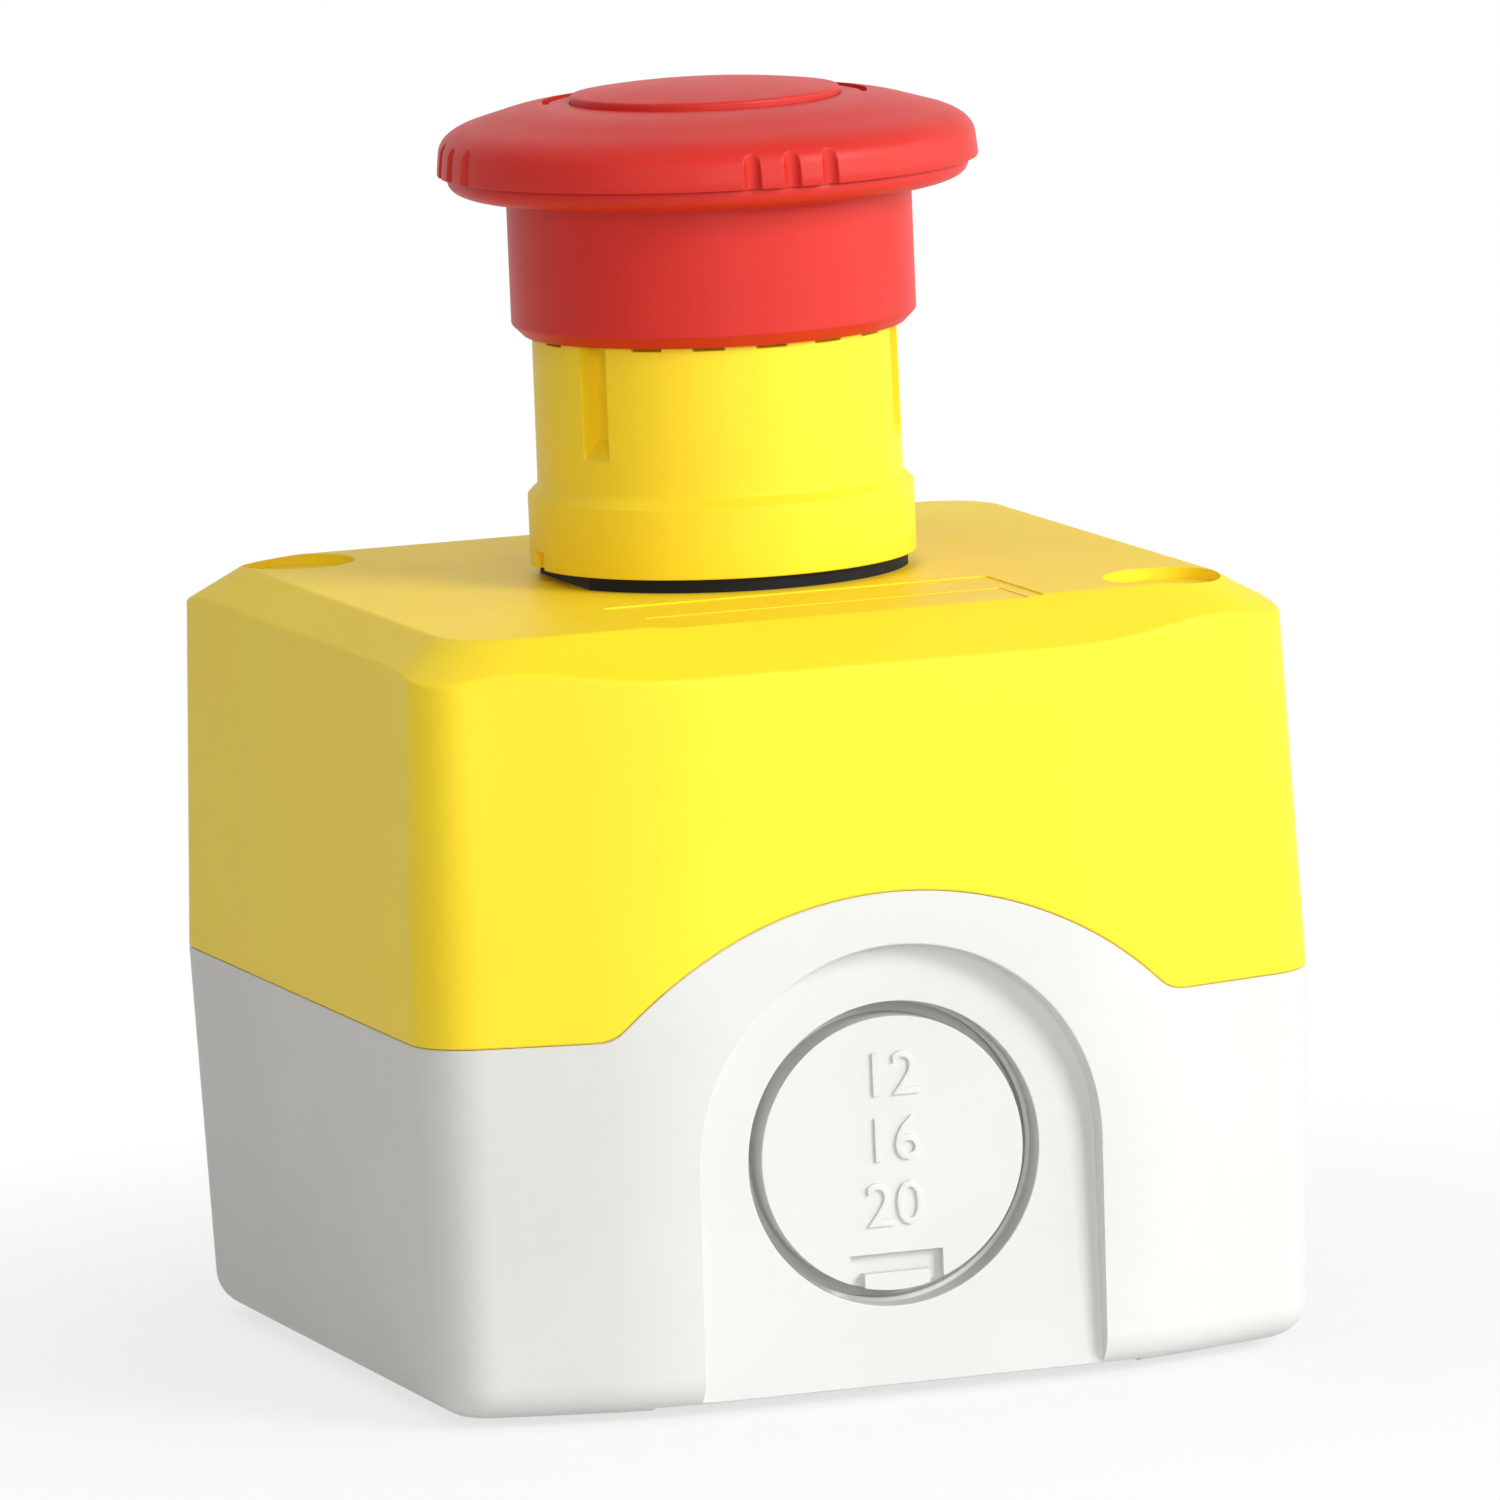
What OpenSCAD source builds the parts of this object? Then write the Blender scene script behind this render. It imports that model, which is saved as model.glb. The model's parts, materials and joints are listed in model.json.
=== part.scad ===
// Emergency stop control station: a two-part plastic enclosure with one red
// mushroom push button, push to latch and turn to release, over one opening
// and one closing contact block. Millimetres, +Z out of the lid, origin in the
// middle of the mounting face, -Y towards the front cable entry.

/* [Enclosure] */
// Width across the flat sides at the seam
box_w = 67.6; // [66:0.2:72]
// Depth across the two bulged faces at the seam
box_d = 68.4; // [67:0.2:73]
// Height of the lid's top face
box_h = 55.4; // [54:0.2:60]
// How far the middle of a bulged face stands out from its corners
bulge = 4.2; // [2:0.2:5]
// Width of the flat in the middle of a bulged face
bulge_flat = 35.2; // [30:0.4:40]
// Radius of the four upright corners
corner_r = 5.4; // [3:0.2:8]
// Radius where a bulged face bends
bend_r = 34; // [10:1:40]
// Draft of the lid's walls, in degrees
lid_draft = 2.1; // [1:0.1:3]
// Draft of the base's walls, in degrees
base_draft = 2.0; // [1:0.1:3]
// Height of the seam between base and lid
seam_z = 27; // [26:0.2:28]
// Play between base and lid along the seam
seam_gap = 0.05; // [0.03:0.01:0.1]
// Thickness of the side walls
side_wall = 2.6; // [2:0.2:3]
// Thickness of the base's floor
floor_t = 3; // [2.6:0.2:3.2]
// Thickness of the lid's top plate
panel_t = 2.5; // [2:0.1:3]
// Setback of the lid's flat top from the seam on the flat sides
top_in_x = 4.45; // [4:0.05:5]
// Setback of the lid's flat top from the seam on the bulged faces
top_in_y = 7.0; // [6.6:0.1:7.4]
// Radius of the flat top's corners
top_r = 5; // [3:0.5:7]
// Slope of the chamfer on the flat sides, rise over run
side_slope = 0.575; // [0.5:0.005:0.65]
// Slope of the chamfer on the bulged faces, rise over run
face_slope = 0.52; // [0.45:0.005:0.6]
// Rounding of the base's bottom edge
foot_r = 2.6; // [1.5:0.1:3]
// Height of the foot pads under the base
pad_h = 0.35; // [0.2:0.05:0.6]
// Width of the raised strip between the foot pads
pad_gap_w = 36.8; // [34:0.4:38]

/* [Cable entries] */
// Outer radius of the arch where the base rises into the lid
arch_r = 29; // [28:0.5:30]
// Height of that arch's centre
arch_z = 7; // [6:0.5:8]
// Radius that blends the arch into the seam
arch_blend = 3; // [2:0.5:4]
// Half width of the sunk arch on each bulged face
recess_r = 15.15; // [14:0.05:16]
// Depth of the sunk arch, measured at the seam
recess_depth = 2.1; // [1.4:0.1:2.4]
// Height of the knock-out's centre
knock_z = 17; // [16:0.2:18]
// Radius of the knock-out disc
knock_r = 9.85; // [9:0.05:10]
// How far the knock-out disc is set back behind the sunk arch
knock_set = 0.3; // [0.1:0.05:0.5]
// Width of the groove around the knock-out
knock_groove = 1.1; // [0.8:0.05:1.3]
// Thickness of the wall behind a sunk arch
entry_wall = 2.5; // [2.2:0.1:3]
// Thickness of the round boss behind the knock-out
knock_boss = 1.0; // [0.8:0.1:1.2]
// Thickness of the skin left under the knock-out's groove
knock_skin = 0.5; // [0.4:0.05:0.8]
// Width of the pry notch at the bottom of the knock-out
notch_w = 7; // [6:0.2:8]
// Top of the pry notch above the disc's lowest point
notch_h = 2.7; // [2:0.1:3]
// Depth of the pry notch behind the disc's face
notch_depth = 0.8; // [0.6:0.05:1]

/* [Lid screws and fixing holes] */
// Distance of a lid screw from the outside of the flat side
screw_in_x = 8.6; // [8.5:0.1:9]
// Distance of a lid screw from the outside of the bulged face
screw_in_y = 11; // [11:0.1:11.4]
// Radius of a screw well in the lid
well_r = 4.3; // [4.2:0.05:4.5]
// Height of the seat under a screw's head
well_floor = 36; // [35:0.5:40]
// Radius of the posts around the screws
post_r = 5.55; // [5.4:0.05:5.6]
// Height at which the lid's post stands on the base's post
post_z = 29; // [28.8:0.1:30]
// Radius of a lid screw's shank
screw_r = 1.95; // [1.8:0.05:2]
// Radius of a lid screw's head
screw_head_r = 3.8; // [3.5:0.1:3.9]
// Distance of a fixing hole from the outside of the flat side
fix_in_x = 11.8; // [11.6:0.1:12.6]
// Distance of a fixing hole from the outside of the bulged face
fix_in_y = 12.2; // [12:0.1:13]
// Radius of a fixing hole
fix_r = 2.15; // [2:0.05:2.5]

/* [Head] */
// Radius of the panel hole
hole_r = 11.25; // [11.2:0.01:11.3]
// Radius of the threaded barrel
barrel_r = 11.1; // [11:0.05:11.15]
// Thickness of the panel gasket
gasket_t = 1.0; // [0.8:0.1:1.2]
// Outer radius of the panel gasket
gasket_r = 13.43; // [13.3:0.01:13.6]
// Distance of the gasket's two flats from the axis
gasket_flat = 12.2; // [12:0.1:12.6]
// Radius of the collar's foot
collar_foot_r = 14.02; // [13.9:0.01:14.2]
// Height of the collar's foot up to its chamfer
collar_foot_h = 5.1; // [4.6:0.1:5.6]
// Radius of the collar above its foot
collar_r = 13.27; // [13.2:0.01:13.3]
// Height of the collar above the gasket
collar_h = 20.1; // [19.6:0.1:20.2]
// Number of places around the collar, each a slot or a pocket
collar_places = 18; // [18]
// Width of a slot in the collar
slot_w = 2.36; // [2:0.02:2.6]
// Depth of a slot in the collar
slot_depth = 1.2; // [1:0.05:1.3]
// Height of a slot's lower end above the gasket, at the surface
slot_z = 8.8; // [8:0.1:10]
// Height of the pockets' lower edge above the gasket
pocket_z = 16.45; // [16:0.05:17]
// Width of a pocket in the collar, in degrees
pocket_deg = 9.7; // [8:0.1:11]
// Room between the barrel and the pusher's foot
foot_room = 3.4; // [3:0.1:4]
// Outer radius of the fixing nut
nut_r = 14.4; // [13.5:0.1:15]
// Height of the fixing nut
nut_h = 5; // [4:0.2:6]

/* [Button] */
// Travel of the button from released to latched
push_travel = 4.5; // [4:0.1:4.5]
// Turn that releases the latch, in degrees
release_turn = 40; // [30:1:45]
// Outer radius of the button's skirt
skirt_r = 14.68; // [14.6:0.02:14.9]
// Play between the skirt and the collar
skirt_play = 0.35; // [0.3:0.01:0.4]
// Height of the skirt's lower edge above the lid
skirt_z = 17.7; // [17.5:0.1:18]
// Height of the cap's parting line above the lid
parting_z = 29.6; // [29.4:0.1:29.9]
// Outer radius of the mushroom cap
cap_r = 19.6; // [19.4:0.05:20]
// Height of the cap's upright rim
rim_h = 1.5; // [1.2:0.05:1.8]
// Radius at which the rounded shoulder runs into the crown
shoulder_r = 16.9; // [16.5:0.05:17.2]
// Radius of the crown's sphere
crown_r = 73; // [65:1:90]
// Height of the crown above the parting line, at the centre disc
crown_h = 4.75; // [4.6:0.05:5]
// Radius of the centre disc
disc_r = 9.75; // [9.5:0.05:9.8]
// Height of the centre disc's edge above the dome
disc_edge = 0.6; // [0.4:0.05:0.8]
// Rise of the centre disc's face over its edge
disc_rise = 0.7; // [0.5:0.05:0.9]
// Radius of the finger flutes in the rim
flute_r = 0.72; // [0.6:0.02:0.8]
// Angle between two flutes of a group, in degrees
flute_step = 8.4; // [7:0.1:10]
// Radius of the button's stem
stem_r = 4.5; // [4.2:0.05:4.5]

/* [Contact blocks] */
// Distance between the middles of the two contact blocks
block_pitch = 14.4; // [14.2:0.1:15]
// Width of a contact block
block_w = 13.6; // [13.4:0.1:14]
// Length of a contact block
block_l = 40; // [39.6:0.2:41]
// Height of a contact block's ends
block_end_h = 21; // [20.6:0.2:21.6]
// Height of a contact block's middle
block_mid_h = 25; // [24.8:0.1:25.1]
// Width of a contact plunger's guided top
plunger_w = 6.4; // [6:0.1:6.8]
// Depth of a contact plunger, front to back
plunger_d = 4.4; // [4:0.1:5]
// Thickness of the contact strips
strip_t = 0.8; // [0.6:0.1:0.9]
// Width of the contact strips
strip_w = 4.8; // [4.4:0.1:5]
// Height of a contact rivet
rivet_h = 0.4; // [0.3:0.05:0.45]
// Share of the button's travel that the closing bridge makes
closing_ratio = 0.6; // [0.55:0.01:0.6]

/* [Hidden] */

yellow = [0.98, 0.80, 0.08];
pale_grey = [0.86, 0.86, 0.84];
red = [0.80, 0.14, 0.11];
black = [0.08, 0.08, 0.09];
steel = [0.70, 0.70, 0.72];
brass = [0.80, 0.66, 0.32];
dark_grey = [0.30, 0.31, 0.33];

fine = 96;
small = 40;
// Overshoot of a cutter past the face that it opens
cut = 0.5;
// Thickness of a slice that a lofted shell is stretched over
slice = 0.01;
// Play between a piece and the seat that carries it
seat = 0.05;
// Play of a piece that slides in a guide, on each side
guide = 0.1;

// Enclosure
face_y = box_d / 2;
top_w = box_w - 2 * top_in_x;
top_d = box_d - 2 * top_in_y;
screw_x = box_w / 2 - screw_in_x;
screw_y = box_d / 2 - screw_in_y;
fix_x = box_w / 2 - fix_in_x;
fix_y = box_d / 2 - fix_in_y;
recess_y = face_y - recess_depth;
inner_y = recess_y - entry_wall;
inner_x = box_w / 2 - side_wall;
inner_r = 4;
panel_z = box_h - panel_t;
seal_in = 1.0;
seal_w = 0.9;
seal_t = 0.9;
groove_play = 0.1;
legend_line = 0.35;
legend_h = 0.12;
legend_w = 29.4;
legend_inner_w = 27.2;
legend_y = 15;
legend_inner_y = 21.4;
shelf_clip_h = 6;
shelf_clip_t = 1.6;
fix_boss_r = 4.2;
fix_boss_h = 1.5;
boss_r = knock_r + knock_groove + 1.4;
groove_step = 2;
groove_ledge = 0.3;
tooth_w = 4.9;
tooth_h = 1.3;

// Screws and inserts
screw_head_h = 3;
screw_end = 14;
insert_r = 3.2;
insert_bottom = 20;
insert_top = post_z - 0.1;
shank_play = 0.25;

// Contact blocks, from the floor up
block_z = floor_t;
block_top = block_z + block_mid_h;
block_end_top = block_z + block_end_h;
block_mid_l = 20.8;
chamber_floor = block_z + 2;
chamber_top = block_top - 6;
chamber_w = 10.4;
chamber_l = 20;
pocket_w = 10;
pocket_start = 12.4;
strip_z = block_z + 16;
strip_end = 18.6;
strip_start = 4.6;
rivet_y = 6.2;
rivet_r = 1.3;
rivet_root = 0.1;
terminal_y = 15.6;
terminal_screw_r = 1.7;
terminal_head_r = 2.9;
terminal_head_h = 2;
terminal_screw_l = 5.5;
terminal_slot_l = 4.4;
terminal_slot_w = 0.8;
clamp_t = 0.9;
clamp_w = 8.4;
clamp_l = 6.2;
terminal_slot_z = clamp_t + 0.6 * terminal_head_h;
plunger_top = block_top + push_travel + 0.5;
plunger_bottom = chamber_floor + 8;
plunger_wide = 8.8;
foot_gap = 0.1;
foot_bottom = plunger_top + foot_gap;
foot_t = 3;
foot_w = block_pitch + plunger_w + 1.6;
foot_d = 8;
bridge_w = 3.6;
bridge_l = 15.2;
opening_bridge_z = strip_z - 2 * rivet_h - strip_t - seat;
closing_travel = push_travel * closing_ratio;
closing_strip_z = chamber_floor + 7;
closing_bridge_z = closing_strip_z + strip_t + 2 * rivet_h + closing_travel + seat;
window_w = 4;
opening_window = plunger_bottom + 1.6;
riser_y = 9.6;
spring_r = 1.8;
spring_wire = 0.5;
bridge_spring_r = 1.3;
bridge_spring_wire = 0.4;
window_top = chamber_top - 0.5;

// Head
gasket_z = box_h;
head_z = gasket_z + gasket_t;
barrel_bore = 9.1;
barrel_flange_r = 12.7;
barrel_flange_h = 1.8;
barrel_bottom = foot_bottom + foot_t + foot_room;
shelf_t = 2;
shelf_z = barrel_bottom + shelf_t;
barrel_top = head_z + 14.8;
slot_rise = 1.9;
pocket_depth = 0.6;
key_w = 3;
key_r = 12.2;
notch_play = 0.1;
foot_chamfer = collar_foot_r - collar_r;

// Button, from the lid's top up
skirt_in = collar_r + skirt_play;
skirt_bottom = box_h + skirt_z;
skirt_chamfer = 0.85;
parting = box_h + parting_z;
web_bottom = parting - 3.6;
web_t = 2;
dish_r = cap_r - 0.76;
hub_r = 7.5;
hub_bottom = web_bottom - 5.4;
stem_top = web_bottom + 0.55;
stem_flat = 3.7;
shell_in_r = cap_r - 2.1;
rim_top = parting + rim_h;
rim_draft = 0.15;
disc_play = 0.05;
crown_top = parting + crown_h;
crown_centre = crown_top - sqrt(pow(crown_r, 2) - pow(disc_r + disc_play, 2));
disc_top = crown_top + disc_edge;
disc_pocket = crown_top - 0.75;
shell_under = crown_top - 1.45;
arc_r = 11.7;
arc_w = 0.9;
arc_depth = 0.5;
flute_depth = 0.4;

// Latch and pusher
sleeve_bottom = head_z + 0.2;
sleeve_top = head_z + 13.1;
sleeve_in = 6.4;
return_r = 6.4;
return_wire = 0.9;
release_r = 5.8;
release_wire = 0.7;
release_gap = 0.35;
lug_h = 3;
lug_w = 3;
lug_r = 8.3;
lug_z = sleeve_bottom + 6.3;
window_play = 0.4;
flange_top = head_z - 2.85;
flange_t = 3.55;
flange_r = 7.9;
shaft_w = 6.4;
socket_r = 2.95;
socket_depth = 3.1;

// Shared shapes

// Points of an arc of radius r that rounds the corner b between a and c
function round_corner(a, b, c, r, n) =
    let (u = (a - b) / norm(a - b), v = (c - b) / norm(c - b),
         half = acos(u * v) / 2,
         m = (u + v) / norm(u + v),
         o = b + m * r / sin(half),
         p = b + u * r / tan(half),
         q = b + v * r / tan(half),
         a0 = atan2(p[1] - o[1], p[0] - o[0]),
         turn = atan2(q[1] - o[1], q[0] - o[0]) - a0,
         sweep = turn > 180 ? turn - 360 : turn < -180 ? turn + 360 : turn)
    [for (i = [0:n]) o + r * [cos(a0 + sweep * i / n), sin(a0 + sweep * i / n)]];

// Plan of the enclosure, pulled in by inset: flat sides, bulged front and back
function plan(inset) =
    let (hx = box_w / 2 - inset, hy = face_y - inset, hc = hy - bulge, f = bulge_flat / 2,
         p = [[hx, -hc], [hx, hc], [f, hy], [-f, hy], [-hx, hc], [-hx, -hc], [-f, -hy], [f, -hy]],
         c = max(corner_r - inset, 2),
         r = [c, c, bend_r, bend_r, c, c, bend_r, bend_r],
         n = [8, 8, 3, 3, 8, 8, 3, 3])
    [for (i = [0:7]) each round_corner(p[(i + 7) % 8], p[i], p[(i + 1) % 8], r[i], n[i])];

// A rounded rectangle of half sizes hx, hy
function rounded(hx, hy, r, n = 6) =
    let (p = [[hx, -hy], [hx, hy], [-hx, hy], [-hx, -hy]])
    [for (i = [0:3]) each round_corner(p[(i + 3) % 4], p[i], p[(i + 1) % 4], r, n)];

module sheet(points, z) {
    translate([0, 0, z]) linear_extrude(slice) polygon(points);
}

// A ring around Z from a radial section
module turned(points) {
    rotate_extrude($fn = fine) polygon(points);
}

module tube(r_out, r_in, z0, z1) {
    difference() {
        translate([0, 0, z0]) cylinder(r = r_out, h = z1 - z0, $fn = fine);
        translate([0, 0, z0 - cut]) cylinder(r = r_in, h = z1 - z0 + 2 * cut, $fn = fine);
    }
}

module post(r, z0, z1) {
    translate([0, 0, z0]) cylinder(r = r, h = z1 - z0, $fn = small);
}

module post_fine(r, z0, z1) {
    translate([0, 0, z0]) cylinder(r = r, h = z1 - z0, $fn = fine);
}

module post_small(r, z0, z1) {
    translate([0, 0, z0]) cylinder(r = r, h = z1 - z0, $fn = 24);
}

// A box centred in x and y, from z0 to z1
module block(w, d, z0, z1) {
    translate([-w / 2, -d / 2, z0]) cube([w, d, z1 - z0]);
}

// A round wire wound around Z, its centre line from z0 + wire/2 to z1 - wire/2
module coil(r, wire, z0, z1, turns) {
    sides = 6;
    rings = ceil(turns * 14);
    rise = z1 - z0 - wire;
    pts = [for (i = [0:rings], s = [0:sides - 1])
        let (a = 360 * turns * i / rings, b = 360 * s / sides,
             q = r + wire / 2 * cos(b))
        [q * cos(a), q * sin(a), z0 + wire / 2 + rise * i / rings + wire / 2 * sin(b)]];
    walls = [for (i = [0:rings - 1], s = [0:sides - 1])
        let (t = (s + 1) % sides)
        [i * sides + s, i * sides + t, (i + 1) * sides + t, (i + 1) * sides + s]];
    ends = [[for (s = [sides - 1:-1:0]) s], [for (s = [0:sides - 1]) rings * sides + s]];
    polyhedron(points = pts, faces = concat(walls, ends), convexity = 6);
}

// The seam seen from the front, raised by up: level at both sides, an arch
// over the cable entry in the middle, and a small arc that blends the two
function seam_line(up) =
    let (blend_x = sqrt(pow(arch_r + arch_blend, 2) - pow(seam_z + arch_blend - arch_z, 2)),
         blend_z = seam_z + arch_blend,
         reach = atan2(blend_x, blend_z - arch_z),
         half = [for (i = [0:4]) let (a = reach * i / 4)
             [blend_x - (arch_blend - up) * sin(a), blend_z - (arch_blend - up) * cos(a)]],
         arch = [for (i = [1:32]) let (a = reach * (1 - i / 16))
             [(arch_r + up) * sin(a), arch_z + (arch_r + up) * cos(a)]])
    concat(half, [for (i = [0:30]) arch[i]], [for (i = [4:-1:0]) [-half[i][0], half[i][1]]]);

// Everything below the seam line, raised by up
module below_seam(up) {
    span = box_w / 2 + 10;
    deep = box_d + 20;
    right = [[span, -cut], [span, seam_z + up]];
    left = [[-span, seam_z + up], [-span, -cut]];
    rotate([90, 0, 0]) linear_extrude(deep, center = true)
        polygon(concat(right, seam_line(up), left));
}

module outer_base() {
    hull() {
        for (a = [0:22.5:90])
            sheet(plan((seam_z - foot_r * (1 - cos(a))) * tan(base_draft) + foot_r * (1 - sin(a))),
                foot_r * (1 - cos(a)));
        sheet(plan(0), seam_z - slice);
    }
}

// The lid's chamfered top as a block, lowered by drop
module roof(drop) {
    fall = 12;
    wide = fall / side_slope;
    deep = fall / face_slope;
    hull() {
        sheet(rounded(top_w / 2, top_d / 2, top_r), box_h - drop - slice);
        sheet(rounded(top_w / 2 + wide, top_d / 2 + deep, top_r + deep), box_h - drop - fall);
        sheet(rounded(top_w / 2 + wide, top_d / 2 + deep, top_r + deep), seam_z - cut);
    }
}

module outer_lid() {
    intersection() {
        hull() {
            sheet(plan(0), seam_z);
            sheet(plan((box_h - seam_z) * tan(lid_draft)), box_h - slice);
        }
        roof(0);
    }
}

// A screw post with webs, up to web_top, that tie it to its corner's two walls
module corner_post(s, z0, z1, web_top) {
    reach = screw_in_x;
    translate([s * screw_x, -s * screw_y, 0]) {
        post(post_r, z0, z1);
        translate([s > 0 ? 0 : -reach, -1.5, z0]) cube([reach, 3, web_top - z0]);
        translate([-1.5, s > 0 ? -reach : 0, z0]) cube([3, reach, web_top - z0]);
    }
}

// One module per sub-part

// Floor, drafted walls, sunk arches with their knock-outs, posts and clips
module enclosure_base() {
    color(pale_grey) difference() {
        union() {
            difference() {
                union() {
                    outer_base();
                    intersection() {
                        outer_lid();
                        below_seam(0);
                    }
                }
                translate([0, 0, floor_t]) linear_extrude(box_h) intersection() {
                    polygon(plan(side_wall));
                    square([box_w, 2 * inner_y], center = true);
                }
            }
            intersection() {
                union() {
                    for (s = [-1, 1]) corner_post(s, floor_t - cut, post_z, seam_z - 1);
                }
                linear_extrude(box_h) polygon(plan(side_wall - cut));
            }
            for (s = [-1, 1]) {
                translate([s * fix_x, s * fix_y, 0]) post(fix_boss_r, floor_t - cut, floor_t + fix_boss_h);
                for (t = [-1, 1]) translate([s * block_pitch / 2, t * (block_l + shelf_clip_t) / 2, 0])
                    block(8, shelf_clip_t, floor_t - cut, floor_t + shelf_clip_h);
                translate([0, s * (inner_y - knock_boss), knock_z]) rotate([-90 * s, 0, 0])
                    post_fine(boss_r, 0, knock_boss + cut);
            }
        }
        block(pad_gap_w, box_d + 2, -cut, pad_h);
        for (t = [0, 180]) rotate([0, 0, t]) knock_out();
        for (s = [-1, 1]) {
            translate([s * fix_x, s * fix_y, 0]) post(fix_r, -cut, floor_t + fix_boss_h + cut);
            translate([s * screw_x, -s * screw_y, 0]) {
                post(insert_r + seat, insert_bottom, post_z + cut);
                post(screw_r + shank_play, screw_end - 2, insert_bottom + cut);
            }
        }
    }
}

// What is cut from the front wall: the sunk arch, the stepped groove around
// the knock-out, and the pry notch in the disc with a tooth left standing in it
module knock_out() {
    groove_depth = entry_wall + knock_boss - knock_skin;
    mouth = recess_depth + 2;
    translate([0, -recess_y, knock_z]) rotate([90, 0, 0]) {
        cylinder(r = recess_r, h = mouth, $fn = fine);
        translate([-recess_r, -knock_z - cut, 0]) cube([2 * recess_r, knock_z + cut, mouth]);
        difference() {
            union() {
                post_fine(knock_r + knock_groove, -groove_step, cut);
                post_fine(knock_r + knock_groove - groove_ledge, -groove_depth, 0);
            }
            difference() {
                post_fine(knock_r, -groove_depth - cut, -knock_set);
                difference() {
                    translate([0, (notch_h - cut) / 2 - knock_r, 0])
                        block(notch_w, notch_h + cut, -knock_set - notch_depth, cut);
                    translate([0, tooth_h / 2 - knock_r - cut, 0])
                        block(tooth_w, tooth_h + 2 * cut, -knock_set - notch_depth - cut, 2 * cut);
                }
            }
        }
    }
}

// Drafted shell with a chamfered top, the panel hole and two screw wells
module enclosure_lid() {
    under = panel_z - cut;
    color(yellow) difference() {
        union() {
            difference() {
                outer_lid();
                difference() {
                    intersection() {
                        hull() {
                            sheet(plan(side_wall), seam_z - 2 * cut);
                            sheet(plan(side_wall + (box_h - seam_z) * tan(lid_draft)), box_h);
                        }
                        roof(panel_t);
                    }
                    for (s = [-1, 1]) corner_post(s, post_z, box_h - 1, box_h - 1);
                }
            }
            legend_frame();
        }
        below_seam(seam_gap);
        intersection() {
            below_seam(seal_t + groove_play);
            seal_ring(groove_play);
        }
        for (s = [-1, 1]) translate([s * screw_x, -s * screw_y, 0]) {
            post(well_r, well_floor, box_h + cut);
            post(screw_r + shank_play, post_z - cut, well_floor + cut);
        }
        translate([0, 0, under]) cylinder(r = hole_r, h = panel_t + 2 * cut, $fn = fine);
        key_notch(under, box_h + cut);
    }
}

// Room for the barrel's key, from z0 to z1
module key_notch(z0, z1) {
    translate([0, key_r / 2, 0]) block(key_w + 2 * notch_play, key_r + 2 * notch_play, z0, z1);
}

// Two raised outlines on the lid's top, in front of the head
module legend_frame() {
    front = -top_d / 2 + 0.2;
    for (f = [[legend_w, legend_y], [legend_inner_w, legend_inner_y]]) {
        translate([0, -f[1], 0]) block(f[0] + legend_line, legend_line, box_h - cut, box_h + legend_h);
        for (s = [-1, 1])
            translate([s * f[0] / 2, (front - f[1]) / 2, 0])
                block(legend_line, front * -1 - f[1], box_h - cut, box_h + legend_h);
    }
}

// Upright ring that the seal is cut from, wider by play on both sides
module seal_ring(play) {
    linear_extrude(box_h) difference() {
        polygon(plan(seal_in - play));
        polygon(plan(seal_in + seal_w + play));
    }
}

// Rubber seal that follows the seam over both arches
module lid_seal() {
    color(black) difference() {
        intersection() {
            below_seam(seal_t);
            seal_ring(0);
        }
        below_seam(seam_gap);
    }
}

module lid_screws() {
    color(steel) for (s = [-1, 1]) translate([s * screw_x, -s * screw_y, 0]) difference() {
        union() {
            post(screw_r, screw_end, well_floor + 0.5);
            post(screw_head_r, well_floor, well_floor + screw_head_h);
        }
        for (a = [0, 90]) rotate([0, 0, a + 20])
            block(3.4, 0.9, well_floor + screw_head_h - 1.6, well_floor + screw_head_h + cut);
    }
}

module lid_inserts() {
    color(brass) for (s = [-1, 1]) translate([s * screw_x, -s * screw_y, 0]) difference() {
        post(insert_r, insert_bottom, insert_top);
        post(screw_r + seat, insert_bottom - cut, insert_top + cut);
        tube(insert_r + cut, insert_r - 0.5, insert_bottom + 4, insert_bottom + 5);
    }
}

module panel_gasket() {
    color(black) difference() {
        intersection() {
            tube(gasket_r, hole_r + seat, gasket_z, head_z);
            block(2 * gasket_flat, 2 * gasket_r + 2, gasket_z - cut, head_z + cut);
        }
        key_notch(gasket_z - cut, head_z + cut);
    }
}

// Castellated collar: three deep slots share a ring of places with pockets
module head_collar() {
    foot_top = head_z + collar_foot_h;
    top = head_z + collar_h;
    bore = barrel_r + seat;
    step = head_z + barrel_flange_h + seat;
    floor_r = collar_r - slot_depth;
    color(yellow) difference() {
        turned([[bore, step], [barrel_flange_r + 0.1, step], [barrel_flange_r + 0.1, head_z],
            [collar_foot_r, head_z], [collar_foot_r, foot_top], [collar_r, foot_top + foot_chamfer],
            [collar_r - 0.05, top], [bore, top]]);
        for (k = [0:collar_places - 1])
            rotate([0, 0, -90 + 360 * k / collar_places]) {
                if (k % (collar_places / 3) == collar_places / 6)
                    rotate([90, 0, 0]) linear_extrude(slot_w, center = true)
                        polygon([[collar_r + 1, head_z + slot_z - slot_rise / slot_depth],
                            [collar_r + 1, top + cut], [floor_r, top + cut],
                            [floor_r, head_z + slot_z + slot_rise]]);
                else
                    rotate([0, 0, -pocket_deg / 2]) translate([0, 0, head_z + pocket_z])
                        rotate_extrude(angle = pocket_deg, $fn = fine)
                            translate([collar_r - pocket_depth, 0]) square([2, collar_h]);
            }
        rotate([0, 0, 180]) translate([collar_foot_r, 0, 0]) block(1.6, 1.9, head_z - cut, head_z + 1.25);
    }
}

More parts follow.
